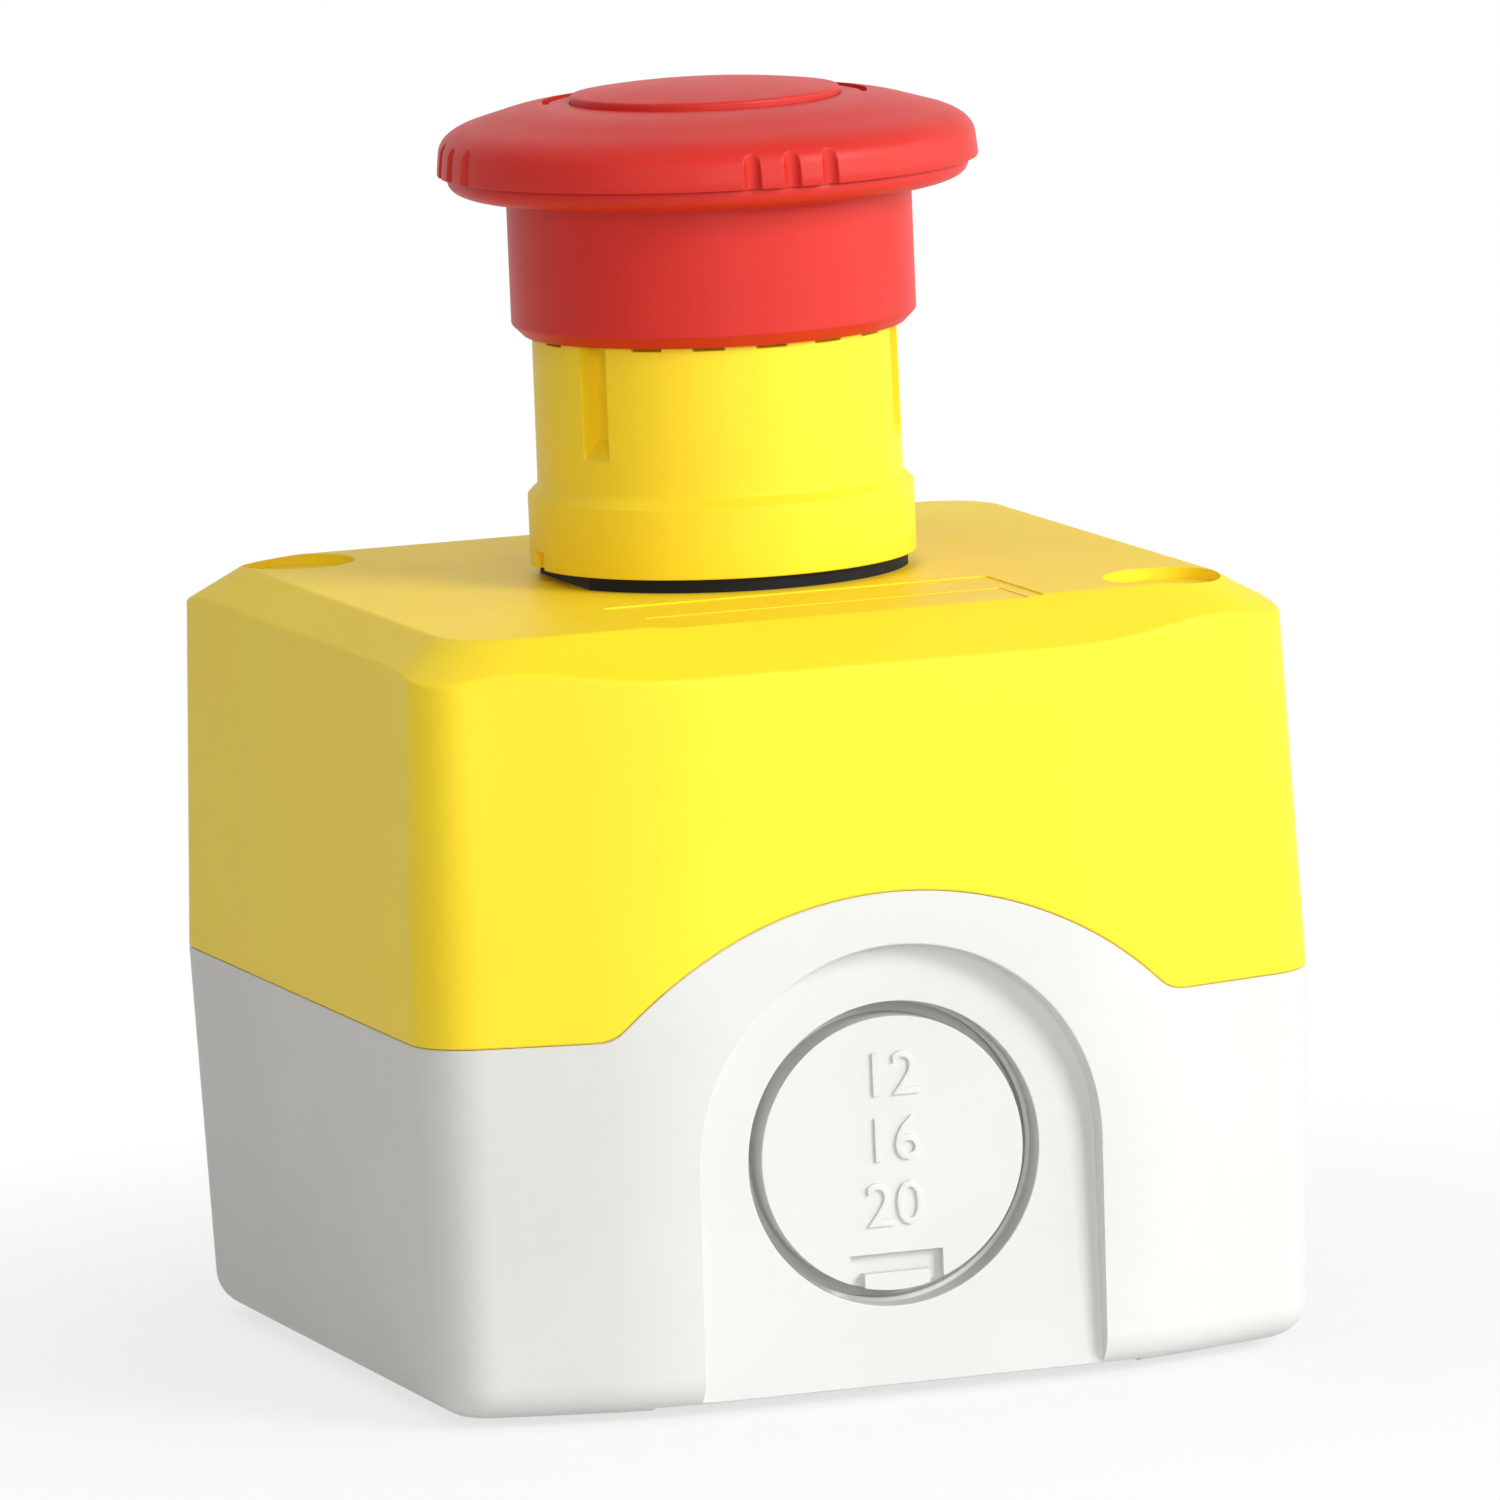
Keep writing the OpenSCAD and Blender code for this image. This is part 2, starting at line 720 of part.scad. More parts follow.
// Barrel through the panel: flange on the gasket, key in the lid's notch and
// a floor with a square hole that keeps the pusher from turning
module head_barrel() {
    color(dark_grey) difference() {
        union() {
            post_fine(barrel_r, barrel_bottom, barrel_top);
            post_fine(barrel_flange_r, head_z, head_z + barrel_flange_h);
            translate([0, key_r / 2, 0]) block(key_w, key_r, panel_z, head_z + cut);
        }
        post_fine(barrel_bore, shelf_z, barrel_top + cut);
        block(shaft_w + 2 * guide, shaft_w + 2 * guide, barrel_bottom - cut, shelf_z + cut);
    }
}

module ring_nut() {
    color(steel) difference() {
        tube(nut_r, barrel_r + seat, panel_z - nut_h, panel_z);
        for (a = [0:45:315]) rotate([0, 0, a])
            translate([nut_r, 0, 0]) block(3, 3.2, panel_z - nut_h - cut, panel_z - nut_h + 2.4);
    }
}

// Sleeve with two windows for the stem's lugs
module latch_sleeve() {
    span = 18;
    far = 14;
    window_h = lug_h + push_travel + window_play;
    color(pale_grey) difference() {
        tube(barrel_bore - seat, sleeve_in, sleeve_bottom, sleeve_top);
        for (t = [0, 180]) rotate([0, 0, t])
            translate([0, 0, lug_z - push_travel - window_play / 2]) linear_extrude(window_h)
                polygon([[0, 0], far * [cos(span), sin(span)], far * [1.2, 0],
                    1.2 * far * [cos(release_turn / 2 + 9), -sin(release_turn / 2 + 9)],
                    far * [cos(release_turn + span), -sin(release_turn + span)]]);
    }
}

module stem_seal() {
    color(black) tube(barrel_bore - 0.1, stem_r + 0.3, sleeve_top + 0.1, barrel_top - 0.2);
}

module return_spring() {
    color(steel) coil(return_r, return_wire, shelf_z, flange_top - flange_t, 3);
}

// Flanged pusher: a socket for the stem on top, a foot over both plungers
module pusher() {
    color(black) difference() {
        union() {
            post(flange_r, flange_top - flange_t, flange_top);
            block(shaft_w, shaft_w, foot_bottom + cut, flange_top - flange_t + cut);
            block(foot_w, foot_d, foot_bottom, foot_bottom + foot_t);
        }
        post(socket_r, flange_top - socket_depth, flange_top + cut);
    }
}

module release_spring() {
    color(steel) coil(release_r, release_wire, flange_top, sleeve_bottom - release_gap, 2.6);
}

// Skirt over the collar, dish under the rim, hub and web for the stem
module cap_skirt() {
    color(red) {
        turned([[stem_r + seat, hub_bottom], [hub_r, hub_bottom], [hub_r, web_bottom],
            [skirt_in, web_bottom], [skirt_in, skirt_bottom], [skirt_r - skirt_chamfer, skirt_bottom],
            [skirt_r, skirt_bottom + skirt_chamfer], [skirt_r, parting - 2.25],
            [skirt_r + 1.5, parting - 1.98], [cap_r - 2.3, parting - 1.55], [cap_r - 1.5, parting - 1.05],
            [cap_r - 0.98, parting - 0.5], [dish_r, parting],
            [shell_in_r - 0.1, parting], [shell_in_r - 0.1, parting + 1], [shell_in_r - 1, parting + 1],
            [shell_in_r - 1, parting], [shell_in_r - 3.6, web_bottom + web_t], [1.75, web_bottom + web_t],
            [1.75, stem_top + seat], [stem_r + seat, stem_top + seat]]);
        intersection() {
            post_fine(hub_r - 1, hub_bottom, web_bottom + 1);
            translate([stem_flat + seat + hub_r / 2, 0, 0])
                block(hub_r, 2 * hub_r, hub_bottom, web_bottom + 1);
        }
    }
}

// Mushroom shell: upright rim, rounded shoulder and spherical crown, with
// four groups of finger flutes, two arc slots and a seat for the disc
module cap_shell() {
    rim_r = cap_r - rim_draft;
    knee = [cap_r - rim_draft - 0.13, crown_z(cap_r - rim_draft - 0.13)];
    from = [rim_r, rim_top];
    to = [shoulder_r, crown_z(shoulder_r)];
    shoulder = [for (i = [0:8]) let (t = i / 8)
        pow(1 - t, 2) * from + 2 * t * (1 - t) * knee + pow(t, 2) * to];
    color(red) difference() {
        turned(concat(
            [[0, shell_under], [9, shell_under], [15.5, parting + 2], [shell_in_r, parting + 1.2],
                [shell_in_r, parting], [cap_r, parting]],
            shoulder,
            [for (r = [15.5:-1.4:disc_r + 1]) [r, crown_z(r)]],
            [[disc_r + disc_play, crown_top], [disc_r + disc_play, disc_pocket], [0, disc_pocket]]));
        for (g = [0:90:270], k = [-1:1]) rotate([0, 0, g - 90 - 1 + k * flute_step])
            translate([cap_r + flute_r - flute_depth, 0, 0]) post_small(flute_r, parting - cut, crown_top);
        arc_slot(-168, -112);
        arc_slot(73, 130);
    }
}

function crown_z(r) = crown_centre + sqrt(pow(crown_r, 2) - pow(r, 2));

// Shallow slot around the disc, angles from the front towards +X
module arc_slot(from, to) {
    bottom = crown_z(arc_r) - arc_depth;
    translate([0, 0, bottom]) {
        rotate([0, 0, from - 90]) rotate_extrude(angle = to - from, $fn = fine)
            translate([arc_r - arc_w / 2, 0]) square([arc_w, 2]);
        for (a = [from, to]) rotate([0, 0, a - 90]) translate([arc_r, 0, 0]) post_small(arc_w / 2, 0, 2);
    }
}

module cap_disc() {
    centre = disc_top + disc_rise - disc_sphere();
    color(red) turned(concat([[0, disc_pocket], [disc_r, disc_pocket], [disc_r, disc_top]],
        [for (i = [6:-1:1]) let (r = disc_r * i / 7) [r, centre + sqrt(pow(disc_sphere(), 2) - pow(r, 2))]],
        [[0, disc_top + disc_rise]]));
}

function disc_sphere() = (pow(disc_r, 2) + pow(disc_rise, 2)) / (2 * disc_rise);

// Stem with a spigot in the pusher, two latch lugs and a pilot hole
module cap_stem() {
    color(pale_grey) difference() {
        union() {
            difference() {
                post_fine(stem_r, flange_top + seat, stem_top);
                translate([stem_flat + stem_r / 2, 0, 0])
                    block(stem_r, 2 * stem_r + 2, hub_bottom - 0.1, stem_top + cut);
            }
            post(socket_r - seat, flange_top - socket_depth + 0.1, flange_top + 1);
            intersection() {
                block(2 * lug_r, lug_w, lug_z, lug_z + lug_h);
                post_fine(lug_r, lug_z - cut, lug_z + lug_h + cut);
            }
        }
        post_small(1.6, web_bottom - 9, web_bottom + 2);
    }
}

module cap_screw() {
    seat_z = web_bottom + web_t;
    color(steel) difference() {
        union() {
            post_small(1.5, web_bottom - 7, seat_z + 0.5);
            post(3.4, seat_z, seat_z + 2.2);
        }
        for (a = [0, 90]) rotate([0, 0, a]) block(3.6, 0.8, seat_z + 1, seat_z + 2.2 + cut);
    }
}

// Housing of one contact block, around x = 0: tower with a guided plunger
// hole, chamber, two terminal pockets and the passages of the strips
module contact_housing() {
    difference() {
        union() {
            block(block_w, block_l, block_z, block_end_top);
            block(block_w, block_mid_l, block_z, block_top);
        }
        block(chamber_w, chamber_l, chamber_floor, chamber_top);
        block(plunger_w + 2 * guide, plunger_d + 2 * guide, chamber_top - cut, block_top + cut);
        for (s = [-1, 1]) {
            translate([0, s * (pocket_start + block_l / 2 + cut) / 2, 0])
                block(pocket_w, block_l / 2 + cut - pocket_start, strip_z, block_end_top + cut);
            translate([0, s * (chamber_l / 2 + pocket_start) / 2, 0])
                block(strip_w + 2 * seat, pocket_start - chamber_l / 2 + 2 * cut,
                    strip_z, strip_z + strip_t + seat);
            translate([0, s * terminal_y, 0])
                post_small(terminal_screw_r + guide, strip_z - terminal_screw_l, strip_z + cut);
        }
    }
}

module opening_block_housing() {
    color(red) translate([-block_pitch / 2, 0, 0]) contact_housing();
}

module closing_block_housing() {
    color([0.20, 0.50, 0.30]) translate([block_pitch / 2, 0, 0]) {
        contact_housing();
        for (s = [-1, 1]) translate([0, s * (chamber_l / 2 - 1), 0])
            block(strip_w + 1, 2.4, chamber_floor - 0.2, closing_strip_z);
    }
}

module strip_outer(s, inner) {
    translate([0, s * (inner + strip_end) / 2, 0]) difference() {
        block(strip_w, strip_end - inner, strip_z, strip_z + strip_t);
        translate([0, s * (terminal_y - (inner + strip_end) / 2), 0])
            post_small(terminal_screw_r + guide, strip_z - cut, strip_z + strip_t + cut);
    }
}

// Fixed strips of the opening block, rivets facing down
module opening_block_strips() {
    color(brass) translate([-block_pitch / 2, 0, 0]) for (s = [-1, 1]) {
        strip_outer(s, strip_start);
        translate([0, s * rivet_y, 0]) post_small(rivet_r, strip_z - rivet_h, strip_z + rivet_root);
    }
}

// Fixed strips of the closing block, stepped down, rivets facing up
module closing_block_strips() {
    color(brass) translate([block_pitch / 2, 0, 0]) for (s = [-1, 1]) {
        strip_outer(s, riser_y - strip_t);
        translate([0, s * (riser_y - strip_t / 2), 0])
            block(strip_w, strip_t, closing_strip_z, strip_z + strip_t);
        translate([0, s * (strip_start + riser_y) / 2, 0])
            block(strip_w, riser_y - strip_start, closing_strip_z, closing_strip_z + strip_t);
        translate([0, s * rivet_y, 0])
            post_small(rivet_r, closing_strip_z + strip_t - rivet_root, closing_strip_z + strip_t + rivet_h);
    }
}

// Plunger around x = 0 with a window from z0 to z1 for its bridge
module contact_plunger(z0, z1) {
    difference() {
        union() {
            block(plunger_wide, plunger_d, plunger_bottom, chamber_top - 0.1);
            block(plunger_w, plunger_d, plunger_bottom + 1, plunger_top);
        }
        block(window_w, plunger_d + 2 * cut, z0, z1);
    }
}

module opening_block_plunger() {
    color(pale_grey) translate([-block_pitch / 2, 0, 0])
        contact_plunger(opening_window, opening_bridge_z + strip_t + seat);
}

module closing_block_plunger() {
    color(pale_grey) translate([block_pitch / 2, 0, 0])
        contact_plunger(closing_bridge_z - seat, window_top);
}

// Bridge bar around x = 0 with its two rivets above (s = 1) or below (s = -1)
module contact_bridge(z, s) {
    low = s > 0 ? z + strip_t - rivet_root : z - rivet_h;
    block(bridge_w, bridge_l, z, z + strip_t);
    for (t = [-1, 1]) translate([0, t * rivet_y, 0]) post_small(rivet_r, low, low + rivet_h + rivet_root);
}

module opening_block_bridge() {
    color(brass) translate([-block_pitch / 2, 0, 0]) contact_bridge(opening_bridge_z, 1);
}

module closing_block_bridge() {
    color(brass) translate([block_pitch / 2, 0, 0]) contact_bridge(closing_bridge_z, -1);
}

module opening_block_spring() {
    color(steel) translate([-block_pitch / 2, 0, 0])
        coil(spring_r, spring_wire, chamber_floor, plunger_bottom, 6);
}

module closing_block_spring() {
    color(steel) translate([block_pitch / 2, 0, 0])
        coil(spring_r, spring_wire, chamber_floor, plunger_bottom, 6);
}

module opening_bridge_spring() {
    color(steel) translate([-block_pitch / 2, 0, 0])
        coil(bridge_spring_r, bridge_spring_wire, opening_window, opening_bridge_z, 4);
}

module closing_bridge_spring() {
    color(steel) translate([block_pitch / 2, 0, 0])
        coil(bridge_spring_r, bridge_spring_wire, closing_bridge_z + strip_t, window_top, 4);
}

module each_terminal() {
    for (s = [-1, 1], t = [-1, 1])
        translate([s * block_pitch / 2, t * terminal_y, strip_z + strip_t + seat]) children();
}

module terminal_clamps() {
    color(steel) each_terminal() difference() {
        block(clamp_w, clamp_l, 0, clamp_t);
        post_small(terminal_screw_r + guide, -cut, clamp_t + cut);
    }
}

module terminal_screws() {
    color(steel) each_terminal() difference() {
        union() {
            post_small(terminal_screw_r, -terminal_screw_l, clamp_t + cut);
            post(terminal_head_r, clamp_t + seat, clamp_t + seat + terminal_head_h);
        }
        for (a = [0, 90]) rotate([0, 0, a])
            block(terminal_slot_l, terminal_slot_w, terminal_slot_z, clamp_t + terminal_head_h + cut);
    }
}

enclosure_base();
enclosure_lid();
lid_seal();
lid_screws();
lid_inserts();
panel_gasket();
head_collar();
head_barrel();
ring_nut();
latch_sleeve();
stem_seal();
return_spring();
pusher();
release_spring();
cap_skirt();
cap_shell();
cap_disc();
cap_stem();
cap_screw();
opening_block_housing();
opening_block_strips();
opening_block_plunger();
opening_block_bridge();
opening_block_spring();
opening_bridge_spring();
closing_block_housing();
closing_block_strips();
closing_block_plunger();
closing_block_bridge();
closing_block_spring();
closing_bridge_spring();
terminal_clamps();
terminal_screws();
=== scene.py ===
# %% [markdown]
# # An emergency stop station, modelled as a moulded product
#
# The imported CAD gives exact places, joints and hidden parts. This script dresses
# it: every visible moulding is rebuilt as one closed numpy surface with the
# drafts, soft bends and rounded edges that injection-moulded plastic has, and
# every piece gets a procedural material. The mouldings are drawn in millimetres,
# and `to_frame` turns a finished piece into metres; floor, lamps and camera are
# in metres from the start.

import json
import math

import bmesh
import bpy
import numpy as np
from mathutils import Matrix, Vector


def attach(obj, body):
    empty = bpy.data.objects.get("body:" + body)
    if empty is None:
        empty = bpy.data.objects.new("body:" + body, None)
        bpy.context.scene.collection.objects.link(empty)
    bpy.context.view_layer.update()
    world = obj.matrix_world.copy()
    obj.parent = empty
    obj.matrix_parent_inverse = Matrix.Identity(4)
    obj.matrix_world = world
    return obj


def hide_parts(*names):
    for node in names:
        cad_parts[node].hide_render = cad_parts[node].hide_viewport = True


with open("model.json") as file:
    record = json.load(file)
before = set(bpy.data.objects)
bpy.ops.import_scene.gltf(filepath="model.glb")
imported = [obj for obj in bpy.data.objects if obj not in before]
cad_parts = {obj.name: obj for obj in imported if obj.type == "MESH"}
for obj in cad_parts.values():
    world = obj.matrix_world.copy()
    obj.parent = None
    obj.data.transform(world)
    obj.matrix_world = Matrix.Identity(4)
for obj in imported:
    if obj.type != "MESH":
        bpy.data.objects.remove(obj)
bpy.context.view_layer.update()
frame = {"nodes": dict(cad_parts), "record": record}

# %% [markdown]
# ## A skin over a stack of loops
#
# A moulding such as this box has the same kind of section at every height; only
# its size and rounding change. It could be an extruded cube with a Bevel
# modifier, but the bevel breaks up where an arch meets a bulged wall. Here a
# piece is a stack of closed loops with the same number of points,
# counter-clockwise seen from where the stack is heading. The skin closes itself
# with one flat face at each end, so it has no seam, and its faces look outward
# by construction.

# %% Skins from stacks of loops
def new_object(name, verts, faces):
    """Mesh object from vertices in mm and faces of any size."""
    mesh = bpy.data.meshes.new(name)
    mesh.from_pydata(np.asarray(verts, float).tolist(), [], faces)
    obj = bpy.data.objects.new(name, mesh)
    bpy.context.scene.collection.objects.link(obj)
    return obj


def skin(name, loops, ends=True):
    """Closed skin over loops (rows, points, 3).

    Quad (i, j) joins point j and j+1 of row i to row i+1. With ends, the first
    and last row are closed by one flat face each; without, the last row runs
    on into the first, as in a ring.
    """
    loops = np.asarray(loops, float)
    rows, n = loops.shape[:2]
    i = np.arange(rows - 1 if ends else rows)[:, None]
    j = np.arange(n)[None, :]
    k = (j + 1) % n
    up = (i + 1) % rows
    quads = np.stack([i * n + j, i * n + k, up * n + k, up * n + j], -1).reshape(-1, 4)
    faces = quads.tolist()
    if ends:
        faces.append(list(range(n))[::-1])
        faces.append(list(range((rows - 1) * n, rows * n)))
    return new_object(name, loops.reshape(-1, 3), faces)


# %% [markdown]
# ## The enclosure's outline
#
# Seen from above the box has two flat sides (left and right) and two bulged
# faces (front and back) made of three flats with soft bends. The walls lean in
# by two degrees both ways from the seam, so that each half leaves its mould.
#
# All sections of the walls are therefore one outline, pulled in by some inset.
# It could be offset with Blender's Inset tool, ring by ring. Instead every
# corner is an arc whose radius shrinks with the inset, a ray from the axis finds
# the distance to the outline in each direction, and the table of those
# distances, r(direction, inset), serves both halves, inside and out.

# %% Outline
BOX_W = 67.6
BOX_D = 68.4
BULGE = 4.2
FLAT_W = 35.2
CORNER_R = 5.4
LEAST_CORNER = 1.6
BEND_R = 34.0
CORNER_STEPS = 40
BEND_STEPS = 14


def arc_corners(points, radii, counts):
    """Closed outline whose corners are circular arcs.

    The arc's centre lies on the corner's bisector at radius / sin(half angle),
    and it touches the sides at radius / tan(half angle).
    """
    out = []
    n = len(points)
    for i in range(n):
        a, b, c = (np.asarray(points[(i + k) % n], float) for k in (-1, 0, 1))
        u = (a - b) / np.linalg.norm(a - b)
        v = (c - b) / np.linalg.norm(c - b)
        half = math.acos(np.clip(u @ v, -1, 1)) / 2
        m = (u + v) / np.linalg.norm(u + v)
        centre = b + m * radii[i] / math.sin(half)
        p = b + u * radii[i] / math.tan(half)
        q = b + v * radii[i] / math.tan(half)
        a0 = math.atan2(*(p - centre)[::-1])
        turn = math.atan2(*(q - centre)[::-1]) - a0
        turn = (turn + math.pi) % (2 * math.pi) - math.pi
        t = a0 + turn * np.linspace(0, 1, counts[i] + 1)
        out.append(centre + radii[i] * np.stack([np.cos(t), np.sin(t)], -1))
    return np.concatenate(out)


def outline(inset):
    """Outline of the enclosure pulled in by inset."""
    hx = BOX_W / 2 - inset
    hy = BOX_D / 2 - inset
    hc = hy - BULGE
    f = FLAT_W / 2
    c = max(CORNER_R - inset, LEAST_CORNER)
    points = [(hx, -hc), (hx, hc), (f, hy), (-f, hy), (-hx, hc), (-hx, -hc), (-f, -hy), (f, -hy)]
    return arc_corners(points, [c, c, BEND_R, BEND_R] * 2, [CORNER_STEPS] * 2 + [BEND_STEPS] * 2
                       + [CORNER_STEPS] * 2 + [BEND_STEPS] * 2)


# %% [markdown]
# ## The roof's outline
#
# The lid's roof is a plain rounded rectangle with broad chamfers, flatter at the
# front and back than at the sides. Cutting the chamfers with four planes would
# leave hard mitres in the corners. Here the chamfer is the same outline grown
# with depth, so its corner is close to a cone and runs softly into both sides.

# %% Outline of the chamfered roof
ROOF_X = 29.35
ROOF_Y = 27.2
ROOF_CORNER = 5.0
FALL_X = 0.575
FALL_Y = 0.52


def top_outline(drop):
    """Outline of the lid's roof at a depth of drop under its flat top.

    For each mm outward the chamfers fall by FALL_X at the sides, by FALL_Y at the front and back.
    """
    hx = ROOF_X + drop / FALL_X
    hy = ROOF_Y + drop / FALL_Y
    r = ROOF_CORNER + drop / FALL_Y
    return arc_corners([(hx, -hy), (hx, hy), (-hx, hy), (-hx, -hy)], [r] * 4, [CORNER_STEPS] * 4)


# %% [markdown]
# ## Columns and tables
#
# Every moulding of the box is built on the same columns, one for each direction
# seen from the axis. They stand closer together in the corners, because each
# bend of both outlines has its own columns. Even steps would be simpler, but
# they would cut the corners off or waste points on the flats.

# %% Columns around the box, and the polar tables
COLUMN_STEP = 1.1
COLUMN_APART = 0.12


def polar(points, phi):
    """Distance from the axis to a star-shaped outline in each direction phi.

    The ray meets the side p-q where cross(p, q-p) / cross(ray, q-p) is its length.
    """
    ang = np.unwrap(np.arctan2(points[:, 1], points[:, 0]))
    ang = ang - 2 * np.pi * np.floor((ang[0] + np.pi) / (2 * np.pi))
    p = np.concatenate([points] * 3)
    a = np.concatenate([ang - 2 * np.pi, ang, ang + 2 * np.pi])
    i = np.searchsorted(a, phi, side="right")
    p0 = p[i - 1]
    e = p[i] - p0
    ray = np.stack([np.cos(phi), np.sin(phi)], -1)
    return (p0[:, 0] * e[:, 1] - p0[:, 1] * e[:, 0]) / (ray[:, 0] * e[:, 1] - ray[:, 1] * e[:, 0])


def filled(angles, step, apart=0.02, turn=360.0):
    """Sorted angles of one turn, none closer than apart.

    Every gap wider than step is split into the fewest even parts that are not.
    """
    a = np.sort(np.asarray(angles) % turn)
    a = a[np.append(True, np.diff(a) > apart)]
    gaps = np.diff(np.append(a, a[0] + turn))
    count = np.maximum(1, np.ceil(gaps / step)).astype(int)
    k = np.arange(count.sum()) - np.repeat(np.cumsum(count) - count, count)
    return np.repeat(a, count) + np.repeat(gaps, count) * k / np.repeat(count, count)


corners = [np.arctan2(points[:, 1], points[:, 0]) for points in (outline(0), top_outline(0))]
PHI = filled(np.concatenate(corners), math.radians(COLUMN_STEP), math.radians(COLUMN_APART), 2 * np.pi)
RAY = np.stack([np.cos(PHI), np.sin(PHI)], -1)
INSETS = 0.5 * np.arange(11)
WALLS = np.stack([polar(outline(i), PHI) for i in INSETS])
DROPS = np.linspace(0, 6, 25)
ROOFS = np.stack([polar(top_outline(d), PHI) for d in DROPS])
print("columns around the enclosure:", len(PHI))

# %% [markdown]
# ## Reading the tables
#
# A wall that leans in is the outline with an inset that grows away from the
# seam. Every height therefore has its own inset, and the radius there is read
# from the table in straight steps, for all columns at once. Working each ray out
# anew would give the same shape from a slower script.

# %% Reading the tables
SEAM_Z = 27.0
BASE_DRAFT = 2.0
LID_DRAFT = 2.1


def table_value(table, keys, x):
    """Linear value of table rows at x, column by column."""
    x = np.clip(np.broadcast_to(x, (len(PHI),)), keys[0], keys[-1])
    step = keys[1] - keys[0]
    i = np.minimum(((x - keys[0]) / step).astype(int), len(keys) - 2)
    f = (x - keys[0]) / step - i
    col = np.arange(len(PHI))
    return table[i, col] * (1 - f) + table[i + 1, col] * f


def wall_r(inset):
    """Radius of the wall in every column, pulled in by inset."""
    return table_value(WALLS, INSETS, inset)


def roof_r(drop):
    """Radius of the roof in every column, at a depth of drop under the flat top."""
    return table_value(ROOFS, DROPS, drop)


def ring(r, z):
    """Loop of all columns at radius r and height z."""
    z = np.broadcast_to(z, r.shape)
    return np.stack([r * RAY[:, 0], r * RAY[:, 1], z], -1)


def draft_inset(z):
    """How far the drafted wall stands back at height z: distance from the seam times tan(draft)."""
    z = np.asarray(z, float)
    return np.where(z < SEAM_Z, (SEAM_Z - z) * math.tan(math.radians(BASE_DRAFT)),
                    (z - SEAM_Z) * math.tan(math.radians(LID_DRAFT)))


print("wall at the front stands back", round(float(draft_inset(0.0)), 2), "mm at the foot")

# %% [markdown]
# ## The seam
#
# The base rises into the lid as an arch over each cable entry. Cutting both
# halves with an arched boolean would leave a ragged line on the bulged faces, so
# the seam is made of mesh points: its height is a function of x alone, an arc of
# radius 29 around (0, 7) and a small arc of radius 3 that lands it softly on the
# level part. Both halves ask the same function, so they meet all the way round.

# %% Height of the seam
ARCH_R = 29.0
ARCH_Z = 7.0
BLEND = 3.0
FACE_SPREAD = 0.8
FRONT = np.abs(RAY[:, 1]) > np.abs(RAY[:, 0]) * FACE_SPREAD


def seam_height(x):
    """Seam height above the wall for a distance x from the middle.

    The arch is ARCH_Z + sqrt(ARCH_R^2 - x^2); the blend arc, which curves the other
    way, touches it from outside, so their centres are ARCH_R + BLEND apart.
    """
    x = np.abs(x)
    blend_z = SEAM_Z + BLEND
    blend_x = math.sqrt((ARCH_R + BLEND) ** 2 - (blend_z - ARCH_Z) ** 2)
    touch = blend_x * ARCH_R / (ARCH_R + BLEND)
    arch = ARCH_Z + np.sqrt(np.maximum(ARCH_R ** 2 - x ** 2, 0))
    foot = blend_z - np.sqrt(np.maximum(BLEND ** 2 - (x - blend_x) ** 2, 0))
    return np.where(x < touch, arch, np.where(x < blend_x, foot, SEAM_Z))


def seam_at(inset):
    """Seam height in every column for a wall pulled in by inset at the seam.

    The wall's radius depends on the height and the height on the radius; four rounds settle both.
    """
    z = np.full(len(PHI), SEAM_Z)
    for _ in range(4):
        r = wall_r(inset + draft_inset(z))
        z = np.where(FRONT, seam_height(r * RAY[:, 0]), SEAM_Z)
    return z


seam = seam_at(0.0)
print("columns under the arches:", int((seam > SEAM_Z).sum()))
print("top of the arch, mm:", round(float(seam.max()), 2))

# %% [markdown]
# ## Where the wall meets the chamfer
#
# The lid is a yellow cover with a flat roof and broad chamfers. Its shoulder,
# where the chamfer cuts the drafted wall, lies at another height in every
# column, since wall and roof have different outlines. A boolean of two solids
# would find it, but leave an edge that a bevel can't follow through the bends.
# Halving a range of heights thirty times finds it for all columns at once, and
# a quadratic curve then rounds it.

# %% Shoulder and rounded corners
LID_TOP = 55.4
SHOULDER_DROP = 5.5


def shoulder(wall_inset, top):
    """Height at which the drafted wall meets the roof whose flat is at top, by halving 30 times."""
    low = np.full(len(PHI), top - SHOULDER_DROP)
    high = np.full(len(PHI), float(top))
    for _ in range(30):
        mid = (low + high) / 2
        outside = wall_r(wall_inset + draft_inset(mid)) > roof_r(top - mid)
        high = np.where(outside, mid, high)
        low = np.where(outside, low, mid)
    return (low + high) / 2


def bend(p, b, q, size, steps):
    """Rows of a quadratic curve across corner b, in all columns; p, b, q are (r, z) pairs.

    It starts and ends size away from b: (1-t)^2 p' + 2 t (1-t) b + t^2 q'.
    """
    def toward(end):
        dr = end[0] - b[0]
        dz = end[1] - b[1]
        length = np.hypot(dr, dz)
        return b[0] + dr / length * size, b[1] + dz / length * size
    p0 = toward(p)
    q0 = toward(q)
    return [tuple((1 - t) ** 2 * p0[k] + 2 * t * (1 - t) * b[k] + t ** 2 * q0[k] for k in (0, 1))
            for t in np.linspace(0, 1, steps + 1)]


heights = shoulder(0.0, LID_TOP)
print("shoulder, mm:", round(float(heights.min()), 2), "to", round(float(heights.max()), 2))

# %% [markdown]
# ## The lid's shell
#
# One column of the lid is a polyline in (radius, height): down from the ceiling
# on the inside, under the seam's edge, up the drafted wall, over the shoulder
# and up the chamfer to the flat roof. Solidify could make the inside from the
# outside, but the lid's roof and walls differ in thickness. All columns side by
# side are the rows of a skin, and their roundings run around the box unbroken.

# %% Shell of the lid
PANEL_T = 2.5
SIDE_WALL = 2.6
SEAM_GAP = 0.05
SEAM_EDGE = 0.12
EDGE_SOFT = 0.28
SHOULDER_ROOM = 0.9
ROOF_MARGIN = 1.6
CEILING_MARGIN = 1.5


